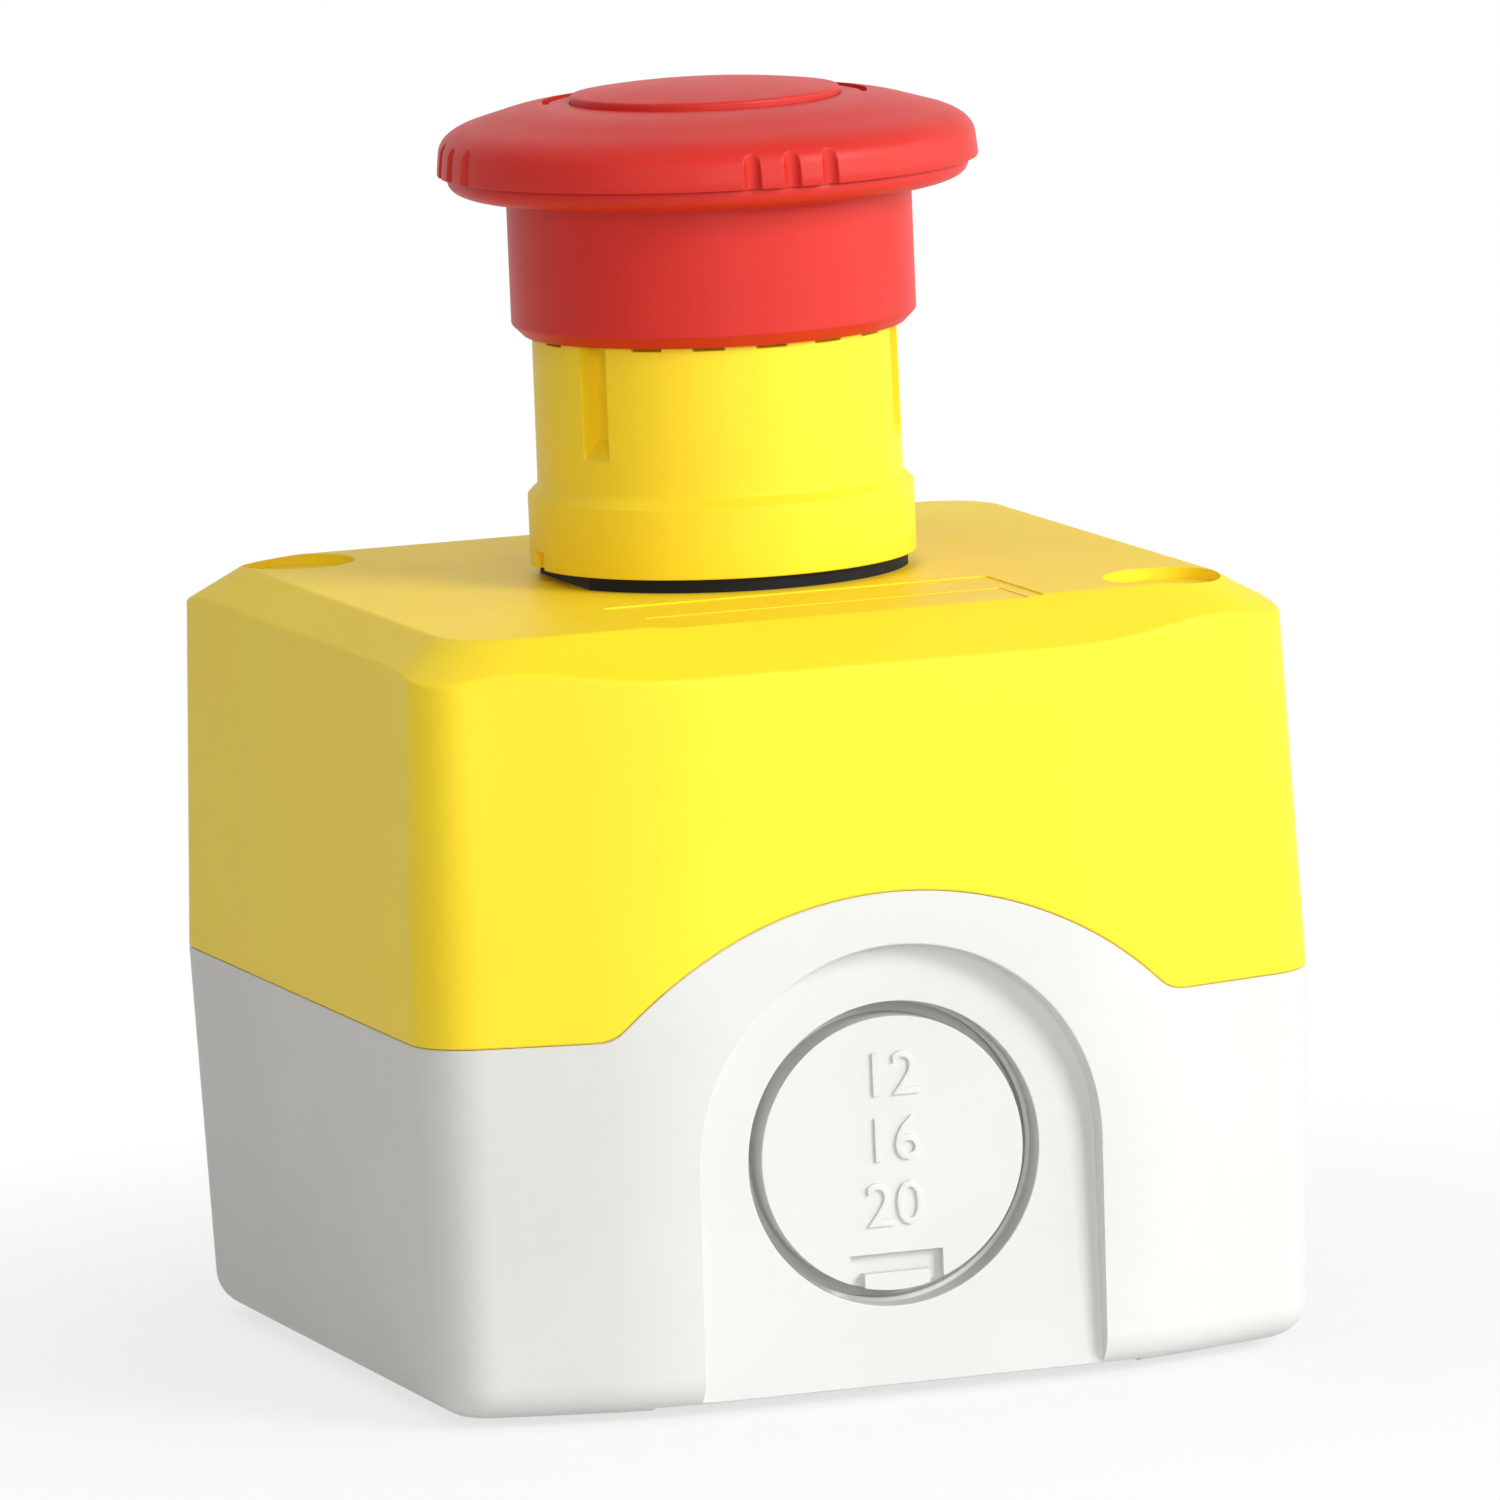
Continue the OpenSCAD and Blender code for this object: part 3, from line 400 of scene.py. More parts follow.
def lid_shell():
    """Closed skin of the bare lid, from its ceiling down the inside and up the outside."""
    ceiling = LID_TOP - PANEL_T
    seam_out = seam_at(0.0) + SEAM_GAP
    seam_in = seam_at(SIDE_WALL) + SEAM_GAP
    z_in = shoulder(SIDE_WALL, ceiling)
    z_out = shoulder(0.0, LID_TOP)
    wall_foot = (wall_r(draft_inset(seam_out)), seam_out)
    wall_top = (wall_r(draft_inset(z_out)), z_out)
    roof_edge = (roof_r(0.0), np.full(len(PHI), LID_TOP))
    roof = (roof_edge[0] - ROOF_MARGIN, roof_edge[1])
    rows = [(roof_r(0.0) - CEILING_MARGIN, ceiling), (roof_r(0.0), ceiling),
            (wall_r(SIDE_WALL + draft_inset(z_in)), z_in), (wall_r(SIDE_WALL), seam_in),
            (wall_r(SEAM_EDGE + draft_inset(seam_out)), seam_out)]
    low = seam_out + SEAM_EDGE
    for t in (0.0, 0.3, 0.6, 0.85):
        z = low + (z_out - SHOULDER_ROOM - seam_out - SEAM_EDGE) * t
        rows.append((wall_r(draft_inset(z)), z))
    rows += bend(wall_foot, wall_top, roof_edge, EDGE_SOFT, 5)
    rows += bend(wall_top, roof_edge, roof, EDGE_SOFT, 4)
    rows.append(roof)
    return skin("enclosure_lid_shell", [ring(r, np.broadcast_to(z, r.shape)) for r, z in rows])


lid = lid_shell()
print("lid shell:", len(lid.data.vertices), "points")

# %% [markdown]
# ## Tools that cut
#
# Holes, wells and posts are plain solids, set into a shell with an exact
# boolean. A tool that flares where it leaves the wall rounds the lip at the same
# time, so no bevel is needed afterwards. Doubled points are welded first, because
# the exact solver wants a clean, closed mesh.

# %% Welding and cutting
def tidy(obj, merge=1e-4):
    """Welds doubled points and drops faces without area."""
    bm = bmesh.new()
    bm.from_mesh(obj.data)
    bmesh.ops.remove_doubles(bm, verts=bm.verts, dist=merge)
    bmesh.ops.dissolve_degenerate(bm, dist=merge, edges=bm.edges)
    bmesh.ops.recalc_face_normals(bm, faces=bm.faces)
    bm.to_mesh(obj.data)
    bm.free()
    return obj


def discard(obj):
    """Removes an object that is used up, with its mesh."""
    mesh = obj.data
    bpy.data.objects.remove(obj)
    bpy.data.meshes.remove(mesh)


def carve(obj, tool, how="DIFFERENCE"):
    """Exact boolean of obj with tool; the tool is used up."""
    mod = obj.modifiers.new("carve", "BOOLEAN")
    mod.operation = how
    mod.solver = "EXACT"
    mod.object = tool
    graph = bpy.context.evaluated_depsgraph_get()
    mesh = bpy.data.meshes.new_from_object(obj.evaluated_get(graph))
    old = obj.data
    obj.modifiers.clear()
    obj.data = mesh
    bpy.data.meshes.remove(old)
    discard(tool)
    return obj


# %% [markdown]
# ## Plain solids
#
# Most tools are round or square: a lathe for all that has a profile, a drum and
# a brick for the rest. Blender's own cylinder and cube would have to be scaled
# and moved into place first. Written as skins, they are made where they belong.

# %% Lathe, drum and brick
def lathe(name, profile, count=96, centre=(0.0, 0.0)):
    """Solid of revolution: each (radius, height) of the profile becomes a circle of count points."""
    a = np.linspace(0, 2 * np.pi, count, endpoint=False)
    p = np.asarray(profile, float)
    loops = np.stack([centre[0] + p[:, :1] * np.cos(a), centre[1] + p[:, :1] * np.sin(a),
                      np.repeat(p[:, 1:], count, 1)], -1)
    return skin(name, loops)


def drum(r, z0, z1, centre=(0.0, 0.0), count=64):
    """Upright cylinder."""
    return lathe("tool", [(r, z0), (r, z1)], count, centre)


def brick(x0, x1, y0, y1, z0, z1):
    """Box between two corners."""
    xy = np.array([(x0, y0), (x1, y0), (x1, y1), (x0, y1)], float)
    loops = [np.column_stack([xy, np.full(4, z)]) for z in (z0, z1)]
    return skin("tool", loops)


# %% [markdown]
# ## Screw posts, wells and the panel's hole
#
# Two screws on one diagonal hold the lid. Each sits in a deep round well inside
# a post that hangs from the roof, tied to both walls by webs. The hole for the
# 22 mm head has a key slot at the back that stops the head from turning.
#
# The wells could be drawn into the roof's own loops, but that needs columns
# around each of them. A turned tool cuts the well, its flared mouth and the
# bevel at its floor in one go, after the post has been joined on.

# %% Posts and wells of the lid
SCREWS = ((25.2, -23.2), (-25.2, 23.2))
WELL_R = 4.2
WELL_FLOOR = 36.0
WELL_MOUTH = ((0.0, -0.1), (0.03, -0.03), (0.1, 0.004), (0.15, 0.4), (0.15, 2.0))
POLE_R = 0.4
POST_R = 5.55
POST_Z = 29.0
SCREW_BORE = 2.2
WEB_HALF = 1.5
WEB_REACH = 6.6
LID_WEB_REACH = 5.9
LID_WEB_TOPS = (51.0, 50.0)
PANEL_HOLE_R = 11.25
KEY_HALF = 1.6
KEY_START = 10.0
KEY_END = 12.3


def screw_post(x, y, z0, z1, web_foot, web_tops, reach):
    """Round post from z0 to z1 with two webs that start at web_foot.

    The first web runs to the side wall, the second by reach to the bulged face, each to its own top.
    """
    side = 1 if x > 0 else -1
    post = drum(POST_R, z0, z1, (x, y))
    sideways = sorted((x, x + side * WEB_REACH))
    post = carve(post, brick(*sideways, y - WEB_HALF, y + WEB_HALF, web_foot, web_tops[0]), "UNION")
    onward = sorted((y, y - side * reach))
    return carve(post, brick(x - WEB_HALF, x + WEB_HALF, *onward, web_foot, web_tops[1]), "UNION")


def well_tool(x, y):
    """Cutter for a screw well, with a hair of flare at its mouth."""
    foot = [(POLE_R, WELL_FLOOR), (WELL_R - 0.2, WELL_FLOOR), (WELL_R, WELL_FLOOR + 0.2)]
    mouth = [(WELL_R + out, LID_TOP + up) for out, up in WELL_MOUTH]
    return lathe("well", foot + mouth + [(POLE_R, LID_TOP + 2)], 72, (x, y))


lid = tidy(lid)
for sx, sy in SCREWS:
    post = screw_post(sx, sy, POST_Z, LID_TOP - 1.2, POST_Z + 0.02, LID_WEB_TOPS, LID_WEB_REACH)
    lid = carve(lid, post, "UNION")
    lid = carve(lid, well_tool(sx, sy))
    lid = carve(lid, drum(SCREW_BORE, POST_Z - 1, WELL_FLOOR + 0.5, (sx, sy), 40))
lid = carve(lid, drum(PANEL_HOLE_R, LID_TOP - 4, LID_TOP + 1, count=96))
lid = carve(lid, brick(-KEY_HALF, KEY_HALF, KEY_START, KEY_END, LID_TOP - 4, LID_TOP + 1))
print("lid with wells and hole:", len(lid.data.polygons), "faces")

# %% [markdown]
# ## The label's place
#
# In front of the collar the roof is sunk in two fine steps, a tenth of a
# millimetre or less each, as a seat for a label. They are so low that only their
# lit edges show, yet a bump map would vanish in a side view, so they are cut for
# real: one flat brick for each, given as (half width, back edge, depth).

# %% Sunk place for the label
LABEL_STEPS = ((14.6, -15.5, 0.11), (13.4, -21.6, 0.17))
PAST_WALL = 36.0

for half, back, depth in LABEL_STEPS:
    lid = carve(lid, brick(-half, half, -PAST_WALL, back, LID_TOP - depth, LID_TOP + 1))
print("lid faces:", len(lid.data.polygons))

# %% [markdown]
# ## Caps in the screw wells
#
# The wells look shallow from outside: a yellow floor lies just under the roof.
# A plain cap with a softly rounded edge stands for it in each well. A cylinder
# with a Bevel modifier would do as well; turned from a profile, the cap has its
# edge at once. Both caps are islands of one mesh, being the same moulding twice.

# %% Caps
CAP_SINK = 0.82
CAP_THICK = 1.4
CAP_PLAY = 0.04
CAP_EDGE = 0.12
CAP_POLE = 0.3


def quadratic(p, b, q, steps):
    """Quadratic curve from p to q with control point b: (1-t)^2 p + 2 t (1-t) b + t^2 q."""
    t = np.linspace(0, 1, steps + 1)[:, None]
    p, b, q = (np.asarray(v, float) for v in (p, b, q))
    return (1 - t) ** 2 * p + 2 * t * (1 - t) * b + t ** 2 * q


def join(obj, others):
    """Adds the others' faces to obj as islands of the same mesh."""
    bm = bmesh.new()
    bm.from_mesh(obj.data)
    for other in others:
        bm.from_mesh(other.data)
        discard(other)
    bm.to_mesh(obj.data)
    bm.free()
    return obj


def well_cap(x, y):
    """Flat round cap with a rounded edge, pressed into a screw well."""
    top = LID_TOP - CAP_SINK
    rim = WELL_R - CAP_PLAY
    edge = quadratic((rim, top - CAP_EDGE), (rim, top), (rim - CAP_EDGE, top), 4)
    foot = [(CAP_POLE, top - CAP_THICK), (rim, top - CAP_THICK)]
    profile = np.concatenate([foot, edge, [(CAP_POLE, top)]])
    return lathe("screw_well_caps", profile, 72, (x, y))


well_caps = join(well_cap(*SCREWS[0]), [well_cap(*SCREWS[1])])
print("caps stand", CAP_SINK, "mm under the roof")

# %% [markdown]
# ## The base's shell
#
# The pale base has a rounded foot, a drafted wall, and the arches that rise into
# the lid. A copy of the lid turned over would not do, since the base has a draft
# and edges of its own. It is drawn on the same columns, so both halves meet
# point by point. Its inner wall is flat behind the bulged faces, where the cable
# entries need an even thickness.

# %% Shell of the base
FOOT_R = 2.6
FLOOR_T = 3.0
INNER_Y = 29.6


def base_shell():
    """Closed skin of the bare base, from underneath up the outside and down the inside.

    The foot is a quarter circle: at angle a it stands FOOT_R (1 - sin a) in and FOOT_R (1 - cos a) up.
    """
    rows = []
    for a in np.radians(np.linspace(0, 90, 10)):
        z = np.full(len(PHI), FOOT_R * (1 - math.cos(a)))
        rows.append((wall_r(draft_inset(z) + FOOT_R * (1 - math.sin(a))), z))
    seam_out = seam_at(0.0)
    top = seam_out - SEAM_EDGE
    crease = np.minimum(SEAM_Z, top)
    for low, high in ((FOOT_R, crease), (crease, top)):
        for t in (0.25, 0.5, 0.75, 1.0):
            z = low + (high - low) * t
            rows.append((wall_r(draft_inset(z)), z))
    rows.append((wall_r(SEAM_EDGE + draft_inset(seam_out)), seam_out))
    inner = np.minimum(wall_r(SIDE_WALL), INNER_Y / np.maximum(np.abs(RAY[:, 1]), 1e-6))
    rows.append((inner, np.where(FRONT, seam_height(inner * RAY[:, 0]), SEAM_Z)))
    rows.append((inner, np.full(len(PHI), FLOOR_T)))
    return skin("enclosure_base_shell", [ring(r, z) for r, z in rows])


base = tidy(base_shell())
print("base shell:", len(base.data.vertices), "points")

# %% [markdown]
# ## What stands inside the base
#
# Two posts take the lid's screws in brass inserts, two low bosses carry the
# screws that fix the box to a wall, and four ribs locate the contact blocks. The
# underside is relieved in the middle, so that the box stands on its sides. All
# of it is joined on or cut out with plain drums and bricks. It is hidden while
# the lid is on, so it needs no soft edges, but it has to be there in a section.

# %% Posts, bosses and ribs
BASE_WEB_REACH = 5.6
BASE_WEB_TOPS = (26.0, 26.0)
INSERT_R = 3.25
INSERT_FOOT = 20.0
PILOT_FOOT = 12.0
FIX_AT = 22.0
FIX_R = 2.15
FIX_BOSS_R = 4.2
FIX_BOSS_TOP = 4.5
RIB_X = 7.2
RIB_HALF = 4.0
RIB_Y = (20.0, 21.6)
RIB_TOP = 9.0
RELIEF_X = 18.4
RELIEF = 0.35

for sx, sy in SCREWS:
    post = screw_post(sx, sy, FLOOR_T - 0.6, POST_Z, FLOOR_T - 0.5, BASE_WEB_TOPS, BASE_WEB_REACH)
    base = carve(base, post, "UNION")
    base = carve(base, drum(INSERT_R, INSERT_FOOT, POST_Z + 1, (sx, sy), 48))
    base = carve(base, drum(SCREW_BORE, PILOT_FOOT, INSERT_FOOT + 0.5, (sx, sy), 40))
for s in (-1, 1):
    at = (FIX_AT * s, FIX_AT * s)
    base = carve(base, drum(FIX_BOSS_R, FLOOR_T - 0.5, FIX_BOSS_TOP, at, 48), "UNION")
    base = carve(base, drum(FIX_R, -1.0, FIX_BOSS_TOP + 1.0, at, 48))
    for t in (-1, 1):
        y0, y1 = sorted((t * RIB_Y[0], t * RIB_Y[1]))
        rib = brick(RIB_X * s - RIB_HALF, RIB_X * s + RIB_HALF, y0, y1, FLOOR_T - 0.5, RIB_TOP)
        base = carve(base, rib, "UNION")
base = carve(base, brick(-RELIEF_X, RELIEF_X, -PAST_WALL, PAST_WALL, -1, RELIEF))
print("base with its inside:", len(base.data.polygons), "faces")

# %% [markdown]
# ## The sunk arch
#
# Each bulged face carries a flat, sunk arch that gives the cable gland an even
# seat. Extruding an arch inward would leave knife edges, so the cutter itself
# has the roundings: it narrows just before the sunk face, for a soft inner
# corner, and flares where it leaves the wall, for a soft lip.

# %% Tool for the sunk arch
RECESS_R = 15.15
RECESS_Y = 32.1
KNOCK_Z = 17.0
ARCH_RAISE = 0.1
ARCH_SIDE = 8.0
ARCH_FOOT = -4.0
ARCH_INNER = ((-0.25, 0.0), (-0.06, 0.07), (0.0, 0.25))
ARCH_LIP = ((0.0, -0.12), (0.03, -0.04), (0.12, 0.004), (0.2, 0.5), (0.2, 3.0))


def face_y(z):
    """Distance of the bulged face's middle flat from the axis."""
    return BOX_D / 2 - draft_inset(z)


def arch_points(grow):
    """Arch outline (x, z): half a circle on two upright sides, grown by grow."""
    r = RECESS_R + grow
    a = np.linspace(0, np.pi, 49)
    arc = np.stack([r * np.cos(a), KNOCK_Z + ARCH_RAISE + r * np.sin(a)], -1)
    side = np.array([[-r, ARCH_SIDE], [-r, ARCH_FOOT], [r, ARCH_FOOT], [r, ARCH_SIDE]])
    return np.concatenate([arc, side])


def sunk_arch():
    """Cutter for the sunk arch: loops at set depths, then loops that follow the leaning wall."""
    loops = []
    for grow, depth in ARCH_INNER:
        xz = arch_points(grow)
        loops.append(np.column_stack([xz[:, 0], np.full(len(xz), -(RECESS_Y + depth)), xz[:, 1]]))
    for grow, over in ARCH_LIP:
        xz = arch_points(grow)
        loops.append(np.column_stack([xz[:, 0], -(face_y(xz[:, 1]) + over), xz[:, 1]]))
    return tidy(skin("arch", loops))


print("sunk arch lies", round(float(face_y(KNOCK_Z)) - RECESS_Y, 2), "mm behind the face")

# %% [markdown]
# ## The knock-out
#
# A knock-out is a disc held by a thin web, to be broken out for a cable. Disc
# and groove are bodies of revolution about an axis that points out of the face.
# The lathe above could be laid on its side with a rotation, but the heights in
# its profile would then say nothing about the face. Here a profile holds radius
# and height off the sunk face, and its circles are drawn upright.

# %% Turning about the knock-out's axis
AXIS_R = 0.05


def facing(profile, count=144):
    """Solid of revolution about the knock-out's own axis.

    The profile holds (radius, height off the sunk face); a point becomes
    x = r cos a, z = KNOCK_Z + r sin a, y = -RECESS_Y - height.
    """
    p = np.asarray(profile, float)
    a = np.linspace(0, 2 * np.pi, count, endpoint=False)
    x = p[:, :1] * np.cos(a)
    z = KNOCK_Z + p[:, :1] * np.sin(a)
    y = np.repeat(-RECESS_Y - p[:, 1:], count, 1)
    return tidy(skin("tool", np.stack([x, y, z], -1)))


def plug(r, low, high):
    """Plain round solid on the knock-out's axis, from low to high off the sunk face."""
    return facing([(AXIS_R, low), (r, low), (r, high), (AXIS_R, high)])


# %% [markdown]
# ## Groove, notch and tooth
#
# The disc is set back a little and ringed by a stepped groove. A notch at its
# foot, with a tooth in it, takes the screwdriver. Drawn as loops of the wall
# itself they would need columns of their own around every edge. One turned
# cutter sets the disc back, sinks the groove and softens its lip; notch and
# tooth are bricks, the tooth cut off by the disc's own circle.

# %% Tools for the knock-out
KNOCK_R = 9.85
KNOCK_SET = 0.3
GROOVE = 1.1
GROOVE_DEEP = 3.0
GROOVE_STEP = 2.0
GROOVE_LEDGE = 0.3
NOTCH_HALF = 3.5
NOTCH_Z = 6.85
NOTCH_TOP = KNOCK_Z - KNOCK_R + 2.7
NOTCH_DEEP = 0.8
TOOTH_HALF = 2.45
TOOTH_OUT = 0.85
TOOTH_Z = 6.9
TOOTH_TOP = KNOCK_Z - KNOCK_R + 1.3
BOSS_R = KNOCK_R + GROOVE + 1.4


def knock_out_cut():
    """Cutter that sets the disc back and sinks the stepped groove around it."""
    r = KNOCK_R
    set_back = -KNOCK_SET
    wall = KNOCK_R + GROOVE
    ledge = wall - GROOVE_LEDGE
    disc_edge = [(AXIS_R, set_back), (r - 0.08, set_back), (r - 0.02, set_back - 0.02),
                 (r, set_back - 0.08)]
    groove = [(r, -GROOVE_DEEP), (ledge, -GROOVE_DEEP), (ledge, -GROOVE_STEP), (wall, -GROOVE_STEP)]
    lip_edge = [(wall, -0.06), (wall + 0.02, -0.02), (wall + 0.07, 0.004), (wall + 0.1, 0.6),
                (AXIS_R, 0.6)]
    return facing(disc_edge + groove + lip_edge)


def pry_notch():
    """Cutter for the notch at the disc's foot."""
    return brick(-NOTCH_HALF, NOTCH_HALF, -RECESS_Y - 0.9, KNOCK_SET + NOTCH_DEEP - RECESS_Y,
                 NOTCH_Z, NOTCH_TOP)


def pry_tooth():
    """Tooth that stands in the pry notch, flush with the disc and cut off by its circle."""
    tooth = brick(-TOOTH_HALF, TOOTH_HALF, KNOCK_SET - RECESS_Y, KNOCK_SET + TOOTH_OUT - RECESS_Y,
                  TOOTH_Z, TOOTH_TOP)
    return carve(tooth, plug(KNOCK_R, -2.0, 1.0), "INTERSECT")


def on_side(tool, side):
    """Leaves a tool at the front (side 1) or turns it round to the back (side -1)."""
    if side < 0:
        tool.data.transform(Matrix.Rotation(math.pi, 4, "Z"))
    return tool


# %% [markdown]
# ## Both cable entries
#
# The order of the cuts matters. A round boss goes on first, inside the wall, and
# gives the groove something to stop in. Then come the sunk arch, the groove and
# the notch, and the tooth last, so that no later cut takes it away. A Mirror
# modifier could make the back, but the box isn't a mirror image of itself.

# %% Both cable entries
for side in (1, -1):
    boss = plug(BOSS_R, INNER_Y - RECESS_Y - 1.0, INNER_Y - RECESS_Y + 0.05)
    base = carve(base, on_side(boss, side), "UNION")
    base = carve(base, on_side(sunk_arch(), side))
    base = carve(base, on_side(knock_out_cut(), side))
    base = carve(base, on_side(pry_notch(), side))
    base = carve(base, on_side(pry_tooth(), side), "UNION")
print("base faces:", len(base.data.polygons), "knock-out, mm:", 2 * KNOCK_R)

# %% [markdown]
# ## The collar of the head
#
# Eighteen places go round the collar. Three of them, a third of a turn apart,
# are slots 1.5 mm deep with a sloping foot; the others are shallow pockets whose
# lower ends show as a row of dashes under the button's skirt. The collar could
# be lathed with the Screw modifier and cut eighteen times. Here the section is
# turned as a ring skin, and `push(angle, r, z)` moves its points afterwards, so
# that the mesh stays a clean grid of quads.

# %% Turning a section
def turned(name, section, angles, push=None):
    """Ring skin of a closed section of (radius, height) points over the given angles in degrees.

    The section runs so that its outside is on the right hand when climbing on
    the outer wall: up on the outside, down on the inside.
    """
    section = np.asarray(section, float)
    a = np.radians(np.asarray(angles, float))
    r = np.repeat(section[:, :1], len(a), 1)
    z = np.repeat(section[:, 1:], len(a), 1)
    if push is not None:
        r, z = push(a[None, :], r, z)
    loops = np.stack([r * np.cos(a), r * np.sin(a), z], -1)
    return skin(name, loops, ends=False)


def rounded_section(points, radii, steps=4):
    """Closed polyline with softened corners.

    Corner b becomes a quadratic curve that starts and ends radius away from b.
    """
    pts = [np.asarray(p, float) for p in points]
    out = []
    for i, b in enumerate(pts):
        if radii[i] <= 0:
            out.append(b[None])
            continue
        a, c = pts[i - 1], pts[(i + 1) % len(pts)]
        p = b + (a - b) / np.linalg.norm(a - b) * radii[i]
        q = b + (c - b) / np.linalg.norm(c - b) * radii[i]
        out.append(quadratic(p, b, q, steps))
    return np.concatenate(out)


# %% [markdown]
# ## Angles and soft steps
#
# Slots, pockets and grips are placed by their angle from the front. These
# helpers say how far round a point lies, and turn a hard limit into a soft step,
# so that a pushed surface gets rounded lips without a bevel.

# %% Angles and soft steps
def smooth(x):
    """0 below 0, 1 above 1, and 3x^2 - 2x^3 between."""
    x = np.clip(x, 0, 1)
    return x * x * (3 - 2 * x)


def wrap(deg):
    """Angle in degrees brought to -180..180."""
    return (np.asarray(deg) + 180) % 360 - 180


def front_angle(a):
    """Degrees from the front (-Y) towards +X."""
    return wrap(np.degrees(a) + 90)


def near(values, offsets):
    """All values plus all offsets, as angles in degrees."""
    return (np.asarray(values)[:, None] + np.asarray(offsets)[None, :]).ravel()


# %% [markdown]
# ## Where the collar's columns stand
#
# A pushed surface is only as crisp as its columns. Four of them stand over each
# lip, at its ends and in between, and the plain stretches get one every few
# degrees. Even columns all round, fine enough for such sharp lips, would take
# many times the points.

# %% Columns of the collar
PLACE_STEP = 20.0
SLOT_AT = (-60.0, 60.0, 180.0)
HALF_SLOT = 5.15
HALF_POCKET = 4.85
LIP = 0.25
FOOT_NOTCH_AT = -90.0

places = PLACE_STEP * np.arange(18)
lip = np.array([0.0, 0.12, 0.28, 0.5]) - LIP
edges = np.concatenate([near(places, side * (HALF_POCKET + lip)) for side in (-1, 1)]
                       + [near(SLOT_AT, side * (HALF_SLOT + lip)) for side in (-1, 1)]
                       + [near([FOOT_NOTCH_AT], [-4.2, -3.9, 3.9, 4.2])])
COLLAR_COLUMNS = filled(edges - 90, 2.5)
print("collar columns:", len(COLLAR_COLUMNS))

# %% [markdown]
# ## Pushing slots and pockets
#
# Each push is a product of two ramps, one across the place and one up the
# collar, so the depth is known at every point and the corners need no care of
# their own. The same could be painted as a height map for a Displace modifier,
# but the slots' edges would then be as coarse as its pixels.

# %% Slots, pockets and the notch in the foot
HEAD_Z = 56.4
COLLAR_TOP = 76.5
COLLAR_R = 13.27
COLLAR_TOP_R = 13.22
COLLAR_FOOT_R = 14.02
COLLAR_BORE = 11.15
BODY_Z = 62.2
SLOT_FOOT = 64.75
SLOT_SLOPE = 1.45
SLOT_DEPTH = 1.5
POCKET_FOOT = 72.8
POCKET_SLOPE = 0.2
POCKET_DEPTH = 0.6
FOOT_NOTCH_HALF = 4.0
FOOT_NOTCH_TOP = 57.7
FOOT_NOTCH_DEPTH = 0.5


def push_collar(a, r, z):
    """Pockets, slots and the small notch in the foot.

    Across a place the depth rises over the lip as 3x^2 - 2x^3; up a slot it
    rises in a straight line over SLOT_SLOPE, up a pocket almost at once.
    """
    theta = front_angle(a)
    outer = (r > COLLAR_R - 0.2) & (z > BODY_Z)
    is_slot = np.min(np.abs(wrap(theta[..., None] - np.array(SLOT_AT))), -1) < PLACE_STEP / 2
    off = np.abs(wrap(theta - PLACE_STEP * np.round(theta / PLACE_STEP)))
    across = 1 - smooth((off - np.where(is_slot, HALF_SLOT, HALF_POCKET) + LIP) / (2 * LIP))
    pocket = POCKET_DEPTH * across * smooth((z - POCKET_FOOT) / POCKET_SLOPE)
    slot = across * np.clip((z - SLOT_FOOT) / SLOT_SLOPE, 0, 1) * SLOT_DEPTH
    r = np.where(outer, r - np.where(is_slot, slot, pocket), r)
    at_notch = np.abs(wrap(theta - FOOT_NOTCH_AT)) < FOOT_NOTCH_HALF
    notch = at_notch & (r > COLLAR_FOOT_R - 0.2) & (z < FOOT_NOTCH_TOP)
    return np.where(notch, r - FOOT_NOTCH_DEPTH, r), z


print("slots", SLOT_DEPTH, "mm deep, pockets", POCKET_DEPTH, "mm")

# %% [markdown]
# ## The collar's section
#
# The section climbs from the wide foot over a short cone to the body, which
# narrows a little, and comes down in the bore. Extra rows are slipped in where
# something is pushed: two at the notch's upper edge, and a fan over the slots'
# sloping foot and the pockets' lower end. A whole ring of even rows would work
# too, at many times the points.

# %% Collar
SEAT_R = 12.8
SEAT_Z = 58.25
CONE_FOOT = 61.47
COLLAR_TURN = -0.8
FOOT_ROWS = 7
BODY_ROWS = 17

collar_points = [(SEAT_R, SEAT_Z), (SEAT_R, HEAD_Z), (COLLAR_FOOT_R, HEAD_Z),
                 (COLLAR_FOOT_R, CONE_FOOT), (COLLAR_R, BODY_Z + 0.02), (COLLAR_TOP_R, COLLAR_TOP),
                 (COLLAR_BORE, COLLAR_TOP), (COLLAR_BORE, SEAT_Z)]
section = rounded_section(collar_points, [0, 0, 0.15, 0.1, 0.12, 0.2, 0, 0])
on_foot = [(COLLAR_FOOT_R, z) for z in (FOOT_NOTCH_TOP - 0.1, FOOT_NOTCH_TOP + 0.02)]
slope_rows = SLOT_FOOT + SLOT_SLOPE * np.array([-0.02, 0.02, 0.25, 0.5, 0.75, 0.97, 1.03])
body_rows = np.concatenate([[64.0], slope_rows, [70.0, 72.0, 72.8, 72.85, 72.9, 73.0, 74.5]])
narrowing = (COLLAR_R - COLLAR_TOP_R) / (COLLAR_TOP - BODY_Z)
on_body = np.stack([COLLAR_R - narrowing * (body_rows - BODY_Z), body_rows], -1)
# The section's first 7 rows end with the foot's lower edge, the first 17 with the body's lower end.
collar_rows = np.concatenate([section[:FOOT_ROWS], on_foot, section[FOOT_ROWS:BODY_ROWS], on_body,
                              section[BODY_ROWS:]])
collar = turned("head_collar_skin", collar_rows, COLLAR_COLUMNS, push=push_collar)
collar.data.transform(Matrix.Rotation(math.radians(COLLAR_TURN), 4, "Z"))
print("collar:", len(collar_rows), "rows")

